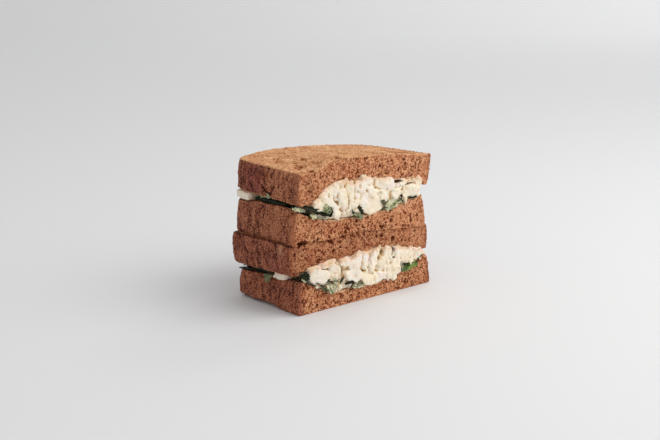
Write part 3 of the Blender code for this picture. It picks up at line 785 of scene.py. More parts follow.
# The salad in each half: the ends of its core along the cut, its seed, where it turns crumbly, and as they
# show in the photograph, in pixels, the outlines of its pieces and the dark holes between them as (u, v,
# width, height, depth in millimetres).
SALADS = {
    "salad_lower": {
        "ends": (9.0, 90.0), "floor": "lower_floor", "roof": "lower_roof", "back": FLAT_BACK, "seed": 5,
        "crumbly": 55.0,
        "pieces": [
            [(307, 268), (316, 265.5), (321, 267), (319, 271), (311, 273)],
            [(309, 272), (318, 270), (328, 271), (330.5, 277), (326, 283), (312, 283.5), (309, 278)],
            [(328, 266), (333, 262.5), (338, 265), (341, 270), (340.5, 277), (336, 281), (330, 280)],
            [(319, 265), (327, 260), (335, 258.5), (336, 263), (330, 267), (321, 269)],
            [(339, 259), (347, 256.5), (350, 260), (347, 266), (344, 269), (340, 265)],
            [(347, 264), (352, 259.5), (358, 259), (361, 263), (358, 269.5), (351, 270.5)],
            [(345, 273), (353, 269.5), (361, 271), (362, 279), (357, 282), (348, 281)],
            [(353, 257), (358, 250.5), (361.5, 251), (361, 261), (357, 261)],
            [(361, 252), (368, 251.5), (368.5, 260), (366, 269), (362, 267)],
            [(360, 273), (367, 270.5), (375, 272), (378, 280), (372, 285), (363, 284.5)],
            [(368, 264), (373, 254), (377, 246), (380, 247.5), (379, 255), (376, 263), (374, 271),
             (369, 271)],
            [(384, 250), (386, 244.5), (390, 244.5), (391, 252), (390, 261), (386, 266), (383, 260)],
            [(376, 262), (382, 257), (386, 264), (386, 272), (379, 273)],
            [(394, 247), (399, 245.5), (402, 250), (400, 257), (396, 259)],
            [(390, 259), (396, 256), (400.5, 260), (399, 266), (393, 268)],
            [(400, 250), (409, 249), (412.5, 254), (408, 260), (401.5, 261.5)],
            [(410, 249), (415, 246.5), (421, 249.5), (426.5, 251), (423, 253.5), (417.5, 258), (411, 260)],
            [(386, 263), (393, 264), (392.5, 272), (387, 273)],
            [(393, 267.5), (399, 264), (400.5, 268), (399, 272), (395, 273)],
            [(379, 270), (386, 271), (385.5, 278.5), (380, 279.5)],
            [(386, 272), (391, 272), (391, 277.5), (387, 279)],
            [(391, 271), (396, 271.5), (395.5, 279), (392, 282)],
            [(373, 272), (380, 272), (381, 280), (375, 283)],
        ],
        "holes": [(393, 249.5, 2.4, 4.6, 5.0), (393, 257.2, 2.4, 2.4, 3.5), (362.4, 270.6, 4.4, 2.6, 4.5),
                  (335.4, 264, 1.6, 3.4, 2.4), (337.8, 261.6, 4.0, 1.6, 2.0), (342, 270, 3.6, 9.0, 2.4),
                  (378, 257, 2.6, 6.5, 2.4), (382.3, 252, 2.0, 6.0, 2.4), (327, 268.6, 3.0, 1.4, 1.0),
                  (377, 267, 1.4, 4.0, 1.2), (369.6, 263, 1.6, 6.0, 1.4), (354, 256, 1.6, 3.0, 1.4)],
    },
    "salad_upper": {
        "ends": (11.0, 89.0), "floor": "upper_floor", "roof": "upper_roof", "back": DOMED_BACK, "seed": 7,
        "crumbly": 66.0,
        "pieces": [
            [(313, 203), (315.6, 199.4), (319, 198), (322, 200.5), (325, 206), (323, 211), (316, 211),
             (313.4, 208)],
            [(317.5, 197), (323, 192), (327, 189.5), (330, 195), (334, 201), (332, 206.5), (325, 206.5),
             (321, 200)],
            [(326, 190), (330, 184.5), (335, 183), (338.5, 187), (338.5, 193.5), (335, 196.5), (329, 195)],
            [(333, 184), (338, 181), (344, 179.5), (347, 181), (343, 185), (340, 191), (336, 188)],
            [(338.5, 191), (343, 186), (345, 192), (346.5, 200), (347.5, 208), (343, 211), (339.5, 204)],
            [(344, 181), (349, 181), (353.5, 188), (352.5, 198), (351.5, 208), (349, 214), (346.5, 209),
             (345, 195)],
            [(350, 187), (355, 190.5), (358.5, 197), (358.5, 204), (355, 210.5), (351, 209), (350, 198)],
            [(331.5, 210), (336, 206.5), (339.5, 210), (342, 213), (339, 218), (337, 220), (333.5, 217)],
            [(331, 201), (336, 203.5), (338.5, 208), (334, 210), (330, 206.5)],
            [(351, 180), (355, 182), (354.5, 187), (350.5, 184.5)],
            [(356, 189), (359.5, 181), (362, 175), (365, 174.5), (366.5, 180), (366, 187), (363, 192),
             (358, 192)],
            [(365, 178), (369, 177), (371.5, 181), (370.5, 187), (366.5, 190)],
            [(354, 184), (358, 180), (360.5, 185), (358, 191), (355, 190)],
            [(356.5, 191), (362, 190.5), (367.5, 192.5), (369.5, 198), (364, 202), (358.5, 199)],
            [(358.5, 199), (364, 196), (370, 192.5), (376, 194.5), (380.5, 199.5), (385, 207), (379, 210.5),
             (369, 214), (361, 210)],
            [(371.5, 185), (375, 179), (381, 177.5), (386.5, 178), (388, 183), (386, 190), (379, 190)],
            [(366, 187), (371, 186.5), (377.5, 190), (376, 196), (369, 195.5)],
            [(386, 178), (392, 177.5), (394, 183), (392.5, 190), (387, 190.5)],
            [(377, 191), (384, 189.5), (391.5, 191), (391.5, 199), (386, 202), (380, 200)],
            [(391, 186), (394, 181.5), (398.5, 183.5), (401, 187), (400, 194), (396, 200), (391.5, 200)],
            [(401, 186), (408, 183.5), (416, 184.5), (418.5, 188), (416, 194), (409, 196), (402.5, 195.5)],
            [(413.5, 181), (418, 176.5), (420.5, 179), (420, 185), (416, 186)],
            [(404, 195), (407, 195), (406, 203.5), (405, 204.5)],
            [(353, 211), (357, 208.5), (360.5, 211.5), (357, 213)],
            [(399, 179), (404, 178), (406, 183), (402, 187)],
        ],
        "holes": [(397.4, 181.4, 7.4, 3.8, 4.5), (408, 183.4, 8.0, 3.0, 4.5), (337.2, 203.6, 2.4, 4.4, 2.4),
                  (347.4, 203, 1.8, 12.0, 1.6), (327.6, 195.6, 2.0, 5.0, 1.2), (353.4, 182.4, 2.0, 4.0, 2.6),
                  (358.7, 186.4, 1.8, 5.0, 1.8), (343.6, 186, 1.8, 3.6, 1.4), (374.5, 188, 4.0, 2.2, 1.6),
                  (379, 192.6, 2.4, 3.4, 1.4), (377.6, 178, 3.4, 1.4, 1.2), (401.4, 188, 1.4, 5.0, 1.4),
                  (316.4, 197.4, 3.0, 2.6, 1.5), (322.2, 190.8, 2.6, 3.0, 1.6), (350, 179.6, 3.0, 2.2, 1.5),
                  (328.6, 185.2, 2.6, 2.8, 1.5), (334.2, 181, 3.6, 1.6, 1.2), (359.6, 178.6, 2.4, 3.6, 1.6)],
    },
}


def salad_points(spec, shares, front=CORE_FRONT):
    """Where shares of a salad's core lie: a layer that bulges at mid height, kept back from the crust."""
    bulge = CORE_BULGE * np.sin(math.pi * shares[:, 2])
    back = {**spec["back"], "straight": spec["back"]["straight"] - SALAD_INSET}
    left, right = spec["ends"]
    return between_levels(shares, left - bulge, right + bulge, front, back, bulge, 0.0, spec["floor"],
                          spec["roof"], CORE_GAPS)


def salad_core(spec, at_cut):
    """Points, quads and normals of the creamy mass that holds a half's salad, lumpy where it is upright.

    At the cut it is a shallow slab, and the other body's goes on from there to the crusts.
    """
    seed = spec["seed"] * 100
    shares, quads = slab_shares(CUT_BODY_GRID if at_cut else BACK_BODY_GRID, False)
    if at_cut:
        back = {"straight": CUT_BODY_DEPTH + SALAD_INSET, "reach": 0.0, "squareness": 2.0}
        spec = {**spec, "back": back}
    points = salad_points(spec, shares, CORE_FRONT if at_cut else BACK_BODY_FRONT)
    points = relax(points, quads, np.full(len(points), 0.4), int(6 * DETAIL))
    normals = normals_at(points, quads)
    place = points + 0.9 * np.column_stack([value_noise(points, 1.7, seed + 60 + k) for k in range(3)])
    large = way_out(place, normals, 4.2, (0.9, 2.3), 0.7, seed)
    middle = way_out(place, normals, 2.2, (0.5, 1.2), 0.9, seed + 20)
    rise = np.maximum(0.9 * np.tanh(large / 0.9), 0.8 * middle)
    rise = rise * smoothstep(1.2 - np.abs(normals[:, 2]) * 1.2)
    return points + normals * rise[:, None], quads, normals


def ball_grid(rows, columns):
    """Directions of a grid of rows between two poles and of columns round them, and its faces.

    A direction is (sin down cos around, sin down sin around, cos down).
    """
    down = math.pi * (np.arange(1, rows) / rows)
    around = 2 * math.pi * np.arange(columns) / columns
    ring = np.stack([
        np.sin(down)[:, None] * np.cos(around),
        np.sin(down)[:, None] * np.sin(around),
        np.cos(down)[:, None] + 0 * around,
    ], -1)
    directions = np.concatenate([[[0, 0, 1.0]], ring.reshape(-1, 3), [[0, 0, -1.0]]])
    number = 1 + np.arange((rows - 1) * columns).reshape(rows - 1, columns)
    after = np.roll(number, -1, axis=1)
    quads = np.stack([number[:-1], number[1:], after[1:], after[:-1]], -1).reshape(-1, 4)
    last = len(directions) - 1
    head = np.stack([0 * number[0], 0 * number[0], number[0], after[0]], -1)
    foot = np.stack([number[-1], 0 * number[0] + last, 0 * number[0] + last, after[-1]], -1)
    return directions, np.concatenate([head, quads, foot])


def turning(angles):
    """Turning matrices for angles (K, 3) in degrees about X, then Y, then Z."""
    a, b, c = np.radians(np.asarray(angles, float)).T
    zero, one = 0 * a, 0 * a + 1
    about_x = np.stack([one, zero, zero, zero, np.cos(a), -np.sin(a), zero, np.sin(a), np.cos(a)], -1)
    about_y = np.stack([np.cos(b), zero, np.sin(b), zero, one, zero, -np.sin(b), zero, np.cos(b)], -1)
    about_z = np.stack([np.cos(c), -np.sin(c), zero, np.sin(c), np.cos(c), zero, zero, zero, one], -1)
    shape = (-1, 3, 3)
    return about_z.reshape(shape) @ about_y.reshape(shape) @ about_x.reshape(shape)


def box_cuts(rng, sizes, knocked=0.13, corner=(0.5, 0.82)):
    """Normals (K, 10, 3) and distances of the cuts of K boxes: six sides out of true and four corners."""
    halves = np.asarray(sizes, float) / 2
    count = len(halves)
    box = np.concatenate([np.eye(3), -np.eye(3)])
    normals = np.broadcast_to(box, (count, 6, 3)) + rng.normal(0, knocked, (count, 6, 3))
    reach = np.concatenate([halves, halves], 1) * rng.uniform(0.9, 1.08, (count, 6))
    corners = rng.normal(0, 1, (count, 4, 3))
    corners /= np.linalg.norm(corners, axis=2, keepdims=True)
    corner_reach = np.einsum("kpi,ki->kp", np.abs(corners), halves) * rng.uniform(*corner, (count, 4))
    normals = np.concatenate([normals / np.linalg.norm(normals, axis=2, keepdims=True), corners], 1)
    return normals, np.concatenate([reach, corner_reach], 1)


def outline_cuts(rng, outline, proud):
    """Centre, normals (P, 3) and distances of the cuts of a piece that the photograph shows by its outline.

    There is a cut along each side of the outline, flaring back, a tilted one in front, one behind, and
    bevels. An outline with fewer sides than the most has some again, too far out to cut.
    """
    seen = in_picture(outline, PIECE_PLANE)[:, [0, 2]]
    middle = seen.mean(0)
    seen = middle + (seen - middle) * PIECE_WIDENING
    edge = np.roll(seen, -1, 0) - seen
    normal = np.column_stack([edge[:, 1], -edge[:, 0]]) / np.linalg.norm(edge, axis=1, keepdims=True)
    reach = ((seen + edge / 2 - middle) * normal).sum(1)
    normal, reach = normal * np.sign(reach)[:, None], np.abs(reach)
    again = np.arange(PIECE_SIDES) % len(outline)
    used = np.arange(PIECE_SIDES) < len(outline)
    flare = rng.uniform(-0.3, 0.0, PIECE_SIDES) * used
    side = np.column_stack([normal[again, 0], flare, normal[again, 1]])
    side_reach = (reach[again] - flare * PIECE_FRONT) * np.where(used, 1.0, 4.0)
    front = np.array([[rng.normal(0, 0.12), -1.0, rng.normal(0, 0.12)], [0.0, 1.0, 0.0]])
    way = rng.uniform(0, 2 * math.pi, BEVELS)
    bevel = np.column_stack([0.75 * np.cos(way), np.full(BEVELS, -BEVEL_SLOPE), 0.75 * np.sin(way)])
    support = ((seen - middle) @ bevel[:, [0, 2]].T).max(0) + BEVEL_SLOPE * PIECE_FRONT
    normals = np.concatenate([side, front, bevel])
    bevel_reach = support * rng.uniform(0.8, 0.96, BEVELS)
    reach = np.concatenate([side_reach, [PIECE_FRONT, PIECE_BACK], bevel_reach])
    long = np.linalg.norm(normals, axis=1)
    centre = np.array([middle[0], PIECE_FRONT - proud, middle[1]])
    return centre, normals / long[:, None], reach / long


def cut_pieces(rng, centres, normals, reach, angles, grid, sharpness=16.0, lumpy=0.05, fibrous=0.18):
    """Points (K, M, 3), quads and values of K cut or torn pieces.

    In a direction d a piece reaches r = (sum over its cuts of (n·d / c)^p)^(-1/p), n being a cut's normal
    and c its distance. Lumps and ridges along its fibres are added.
    """
    directions, quads = ball_grid(*grid)
    count = len(centres)
    slope = np.einsum("mi,kpi->kmp", directions, normals) / reach[:, None, :]
    radius = (np.maximum(slope, 0) ** sharpness).sum(2) ** (-1 / sharpness)
    points = directions * radius[..., None]

    small = np.sort(reach, 1)[:, 0]
    fibre = rng.normal(0, 1, (count, 1, 3))
    fibre /= np.linalg.norm(fibre, axis=2, keepdims=True)
    strands = points - 0.88 * fibre * (points * fibre).sum(2, keepdims=True)
    apart = NOISE_STEP * np.arange(count)[:, None, None]
    ridges = layered_noise((strands + apart).reshape(-1, 3), 0.85, 900, 2).reshape(count, -1)
    lumps = layered_noise((points + apart).reshape(-1, 3), 3.2, 950, 3).reshape(count, -1)
    rise = 2.6 * lumpy * small[:, None] * lumps + fibrous * np.minimum(small, 2)[:, None] * ridges
    points = points + directions * rise[..., None]
    points = np.einsum("kij,kmj->kmi", turning(angles), points) + np.asarray(centres)[:, None, :]
    tone = np.broadcast_to(rng.uniform(0, 1, (count, 1)), points.shape[:2])
    # groove is painted shade in the hollows between a piece's lumps and ridges.
    return points, quads, {"tone": tone, "groove": np.clip(-rise / (0.3 + 0.2 * small[:, None]), 0, 1)}


def joined(points, quads):
    """Points and quads of K like pieces as one list each."""
    count, each = points.shape[:2]
    return points.reshape(-1, 3), (quads[None] + each * np.arange(count)[:, None, None]).reshape(-1, 4)


def keep_between(points, floor, roof, gaps, over=0.0):
    """Points with their heights held between two levels with gaps to them.

    In front of the cut they may stand over the levels, by as much as is said.
    """
    x, y = points[..., 0], points[..., 1]
    free = over * smoothstep((-0.2 - y) / 0.4)
    low = level(floor, x, y) + gaps[0] - free
    high = np.maximum(level(roof, x, y) - gaps[1] + free, low + THINNEST_CHUNK)
    held = points.copy()
    held[..., 2] = np.clip(points[..., 2], low, high)
    return held


def rim_places(spec):
    """Places along the core's right side and round its back, where the salad shows between the crusts."""
    t = np.linspace(0, 1, 200)
    side = np.column_stack([0 * t + 1, t, 0 * t + 0.5])
    back = np.column_stack([1 - t, 0 * t + 1, 0 * t + 0.5])
    line = salad_points(spec, np.concatenate([side, back[1:]]))
    run = np.concatenate([[0], np.cumsum(np.linalg.norm(np.diff(line[:, :2], axis=0), axis=1))])
    stops = np.arange(RIM_SPACING, run[-1] - 5, RIM_SPACING)
    return np.stack([np.interp(stops, run, line[:, k]) for k in range(3)], 1)


def fused(parts, voxel):
    """Points and quads of one skin round parts that overlap, drawn over a grid of voxels of a size."""
    points = np.concatenate([p for p, _ in parts])
    starts = np.cumsum([0] + [len(p) for p, _ in parts[:-1]])
    faces = []
    for (_, quads), start in zip(parts, starts):
        faces += quads_and_triangles(quads + start)
    mesh = bpy.data.meshes.new("parts")
    mesh.from_pydata(points * METRE, [], faces)
    obj = bpy.data.objects.new("parts", mesh)
    bpy.context.scene.collection.objects.link(obj)
    wrap = obj.modifiers.new("wrap", "REMESH")
    wrap.mode, wrap.voxel_size = "VOXEL", voxel / DETAIL * METRE
    skin = bpy.data.meshes.new_from_object(obj.evaluated_get(bpy.context.evaluated_depsgraph_get()))
    found = np.empty(len(skin.vertices) * 3, np.float32)
    skin.vertices.foreach_get("co", found)
    corners = np.empty(len(skin.loops), np.int32)
    skin.loops.foreach_get("vertex_index", corners)
    bpy.data.objects.remove(obj)
    bpy.data.meshes.remove(mesh)
    bpy.data.meshes.remove(skin)
    return found.reshape(-1, 3).astype(float) / METRE, corners.reshape(-1, 4)


def pushed_in(points, holes, grain):
    """How far the skin is pushed in at holes that show in the photograph, and how dark the deep ones are.

    A hole is an ellipse with a grained edge. It pushes by its depth, easing out past its edge and behind the
    cut, and is darkened with painted shade where it is deeper than about 2 mm.
    """
    pushed, dark = np.zeros(len(points)), np.zeros(len(points))
    for u, v, width, height, deep in holes:
        at, past = in_picture([(u, v), (u + width / 2, v - height / 2)], HOLE_PLANE)
        across = (points[:, 0] - at[0]) / (past[0] - at[0])
        upwards = (points[:, 2] - at[2]) / (past[2] - at[2])
        away = np.hypot(across, upwards) + 0.25 * grain
        inside = deep * (1 - smoothstep((away - 0.75) / 0.6)) * smoothstep((5 - points[:, 1]) / 4)
        pushed = np.maximum(pushed, inside)
        darkness = min(max((deep - 1.8) / 1.7, 0.0), 1.0)
        dark = np.maximum(dark, smoothstep((inside - 0.3) / 1.9) * darkness)
    return pushed, dark


def coated(name, points, quads, seed, roof, holes=()):
    """A body of chicken in mayonnaise from its skin: softened, grained and pushed in at holes.

    A groove is where the skin lies under its own smoothed form, and a crest is where it stands over it.
    Shade is painted into the grooves and holes, into the parts behind the cut and just under the bread.
    """
    points = relax(points, quads, np.full(len(points), 0.5), 5)
    normals = normals_at(points, quads)
    near = relax(points, quads, np.full(len(points), 0.6), 10)
    far = relax(near, quads, np.full(len(points), 0.8), 50)
    groove = np.einsum("ij,ij->i", near - points, normals)
    hollow = np.einsum("ij,ij->i", far - points, normals)
    grain = layered_noise(points, 1.2, seed, 3, 0.8)
    lumps = layered_noise(points, 2.6, seed + 9, 2)
    filled = 0.6 * np.maximum(groove, 0) + 0.15 * np.maximum(hollow, 0)
    points = points + normals * (0.14 * grain + 0.12 * lumps + filled)[:, None]
    pushed, dark = pushed_in(points, holes, grain)
    points[:, 1] += pushed
    shading = np.column_stack([2.2 * hollow, 1.8 * groove, 0 * groove])
    shading = relax(shading, quads, np.full(len(points), 0.5), 12)
    # grooves is painted shade: in the grooves and hollows of the skin, and in the holes.
    grooves = 0.2 + shading[:, 0] + shading[:, 1] - 0.1 * grain + 0.6 * smoothstep(pushed)
    # Painted shade just under the bread, where the pieces' upper sides lie in its shadow.
    under = (level(roof, points[:, 0], points[:, 1]) - points[:, 2]) / 2.2
    painted_shade_under_bread = (1 - smoothstep(under)) * smoothstep(0.85 + 1.3 * layered_noise(points, 3.0, seed + 13, 2))
    values = {
        "hole": dark,
        "groove": np.clip(grooves, 0, 1),
        "tone": np.clip(0.5 + 0.9 * layered_noise(points, 6.5, seed + 5, 2), 0, 1),
        # deep grows behind the cut: painted shade for the parts set back from it.
        "deep": smoothstep((points[:, 1] + 0.4) / 3.2) * (points[:, 1] < 12),
        "painted_shade_under_bread": painted_shade_under_bread,
    }
    return make_piece(name, points, quads.tolist(), MATERIALS["chicken"], values)


def salad_at_cut(name, spec, rng):
    """The body of salad at the cut: pieces that fill their outlines, and small bits over its core."""
    cuts = [outline_cuts(rng, outline, rng.uniform(*PIECE_PROUD)) for outline in spec["pieces"]]
    centres, normals, reach = (np.array(part) for part in zip(*cuts))
    angles = np.zeros((len(cuts), 3))
    large = joined(*cut_pieces(rng, centres, normals, reach, angles, PIECE_GRID, 14.0, 0.1, 0.2)[:2])

    core, core_quads, core_normals = salad_core(spec, True)
    seen = core[(core_normals[:, 1] < -0.6) & (core[:, 0] > spec["ends"][0] + 1)]
    crumbly = rng.uniform(0, 1, len(seen)) < np.where(seen[:, 0] > spec["crumbly"], 1.0, 0.45)
    seen = seen[crumbly]
    count = CUT_BODY_BITS
    at = seen[rng.integers(0, len(seen), count)] + rng.normal(0, 0.5, (count, 3))
    at[:, 1] += rng.uniform(-0.9, 0.6, count)
    long = rng.uniform(0.9, 3.1, (count, 1)) * rng.uniform(0.5, 1.1, (count, 3)) * (0.9, 1, 1.6)
    angles = rng.normal(0, (28, 24, 60), (count, 3))
    bits = joined(*cut_pieces(rng, at, *box_cuts(rng, long), angles, BIT_GRID, 10.0, 0.1)[:2])
    parts = [
        (keep_between(points, spec["floor"], spec["roof"], CHUNK_GAPS, OVER_THE_EDGE), quads)
        for points, quads in (large, bits)
    ]
    skin = fused(parts + [(core, core_quads)], CUT_BODY_VOXEL)
    return coated(name + "_cut_side", *skin, spec["seed"], spec["roof"], spec["holes"])


def salad_at_crust(name, spec, rng):
    """The body of salad between the crusts: diced chunks along its rim, and small bits over its core."""
    core, core_quads, core_normals = salad_core(spec, False)
    places = rim_places(spec)
    angles = np.column_stack([rng.uniform(-15, 15, (len(places), 2)), rng.uniform(0, 180, len(places))])
    sizes = np.array(RIM_CHUNK) * rng.uniform(0.8, 1.2, (len(places), 3))
    rims = joined(*cut_pieces(rng, places, *box_cuts(rng, sizes), angles, RIM_GRID, 9.0, 0.09)[:2])
    seen = core[(np.abs(core_normals[:, 2]) < 0.5) & (core[:, 1] > 4) & (core[:, 0] > 30)]
    count = BACK_BODY_BITS
    at = seen[rng.integers(0, len(seen), count)]
    long = rng.uniform(1.4, 4.4, (count, 1)) * rng.uniform(0.6, 1.2, (count, 3))
    angles = rng.uniform(0, 180, (count, 3))
    bits = joined(*cut_pieces(rng, at, *box_cuts(rng, long), angles, BIT_GRID, 8.0, 0.14)[:2])
    parts = [
        (keep_between(points, spec["floor"], spec["roof"], CHUNK_GAPS), quads)
        for points, quads in (rims, bits)
    ]
    skin = fused(parts + [(core, core_quads)], BACK_BODY_VOXEL)
    return coated(name + "_crust_side", *skin, spec["seed"] + 50, spec["roof"])


def salad(name, spec):
    """Chicken salad in one half: diced chicken, small bits and a creamy mass, fused in mayonnaise."""
    rng = np.random.default_rng(spec["seed"])
    for piece in (salad_at_cut(name, spec, rng), salad_at_crust(name, spec, rng)):
        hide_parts(name)


# ---------------------------------------------------------------- leaves and loose pieces

LEAF_GAP = 0.45
LEAF_THICKNESS = 0.5
LEAF_GRID = (110, 54)
SHRED_GRID = (40, 15)
LOOSE_GRID = (60, 110)
FOLD_RADIUS = 0.9

# Leaves: the level that each lies on, the foot, heading and length of its midrib, its width, and the fold
# where it passes the bread: the way the edge faces, its distance from the near left corner that way, the
# bend there (down is positive), how strongly the free end waves, and from 0 to 1 how bright its green is and
# how much mayonnaise coats it. Angles are in degrees from +X.
LEAVES = {
    "leaf_upper_left": {"on": "upper_floor", "foot": (5.5, 10), "heading": 92, "length": 27, "width": 12,
                        "fold": (180, 6.0), "bend": 0, "wave": 0.0, "bright": 0.0, "coat": 0.0},
    "leaf_upper_corner": {"on": "upper_floor", "foot": (22, 3.2), "heading": 180, "length": 18, "width": 9,
                          "fold": (270, 0.6), "bend": 30, "wave": 0.2, "bright": 0.0, "coat": 0.0},
    "leaf_upper_middle": {"on": "upper_floor", "foot": (42, 9), "heading": 271, "length": 12.5, "width": 8,
                          "fold": (270, 0.6), "bend": 50, "wave": 0.3, "bright": 0.25, "coat": 0.3},
    "leaf_upper_right": {"on": "upper_floor", "foot": (68, 9), "heading": 270, "length": 13.5, "width": 18,
                         "fold": (270, 0.6), "bend": -32, "wave": 0.5, "bright": 0.5, "coat": 0.75},
    "leaf_upper_side": {"on": "upper_floor", "foot": (78, 26), "heading": 4, "length": 18, "width": 13,
                        "fold": (0, 95.0), "bend": 25, "wave": 0.3, "bright": 0.4, "coat": 0.1},
    "leaf_upper_back": {"on": "upper_floor", "foot": (57, 44), "heading": 68, "length": 28, "width": 15,
                        "fold": (68, 88.4), "bend": 30, "wave": 0.3, "bright": 0.3, "coat": 0.1},
    "leaf_lower_corner": {"on": "lower_floor", "foot": (12, 4.2), "heading": 180, "length": 13.5,
                          "width": 7.5, "fold": (270, 0.7), "bend": 0, "wave": 0.1, "bright": 0.0,
                          "coat": 0.0},
    "leaf_lower_side": {"on": "lower_floor", "foot": (11, 25), "heading": 178, "length": 17, "width": 10,
                        "fold": (180, 1.2), "bend": 72, "wave": 0.2, "bright": 0.25, "coat": 0.25},
    "leaf_lower_tip": {"on": "lower_floor", "foot": (9, 36), "heading": 123, "length": 20, "width": 9,
                       "fold": (180, 6.0), "bend": 0, "wave": 0.0, "bright": 0.0, "coat": 0.0},
    "leaf_lower_front": {"on": "lower_floor", "foot": (21, 9), "heading": 270, "length": 12.6, "width": 9,
                         "fold": (270, 0.7), "bend": 50, "wave": 0.5, "bright": 0.6, "coat": 0.85},
    "leaf_lower_middle": {"on": "lower_floor", "foot": (42, 9), "heading": 270, "length": 11, "width": 17,
                          "fold": (270, 0.7), "bend": 8, "wave": 0.3, "bright": 0.1, "coat": 0.3},
    "leaf_lower_right": {"on": "lower_floor", "foot": (80.5, 9), "heading": 274, "length": 12.5, "width": 17,
                         "fold": (270, 0.7), "bend": 15, "wave": 0.5, "bright": 1.0, "coat": 0.1},
    "leaf_lower_back": {"on": "lower_floor", "foot": (36, 39), "heading": 95, "length": 23, "width": 15,
                        "fold": (90, 58.4), "bend": 50, "wave": 0.4, "bright": 0.3, "coat": 0.1},
}

# Chicken on its own at the left crust: centre, size, turn about the vertical, how lumpy it is, how far it
# hangs under its floor, and its half's levels.
LOOSE_CHICKEN = {
    "chicken_slab": {
        "centre": (2.2, 48.2, 60.3), "size": (8.0, 12.6, 4.9), "turn": -5, "seed": 3, "lumpy": 0.02,
        "hangs": 0.0, "floor": "upper_floor", "roof": "upper_roof",
    },
    "chicken_shred": {
        "centre": (2.4, 16.6, 19.8), "size": (8.0, 10.0, 3.8), "turn": 4, "seed": 8, "lumpy": 0.3,
        "hangs": 1.2, "floor": "lower_floor", "roof": "lower_roof",
    },
}
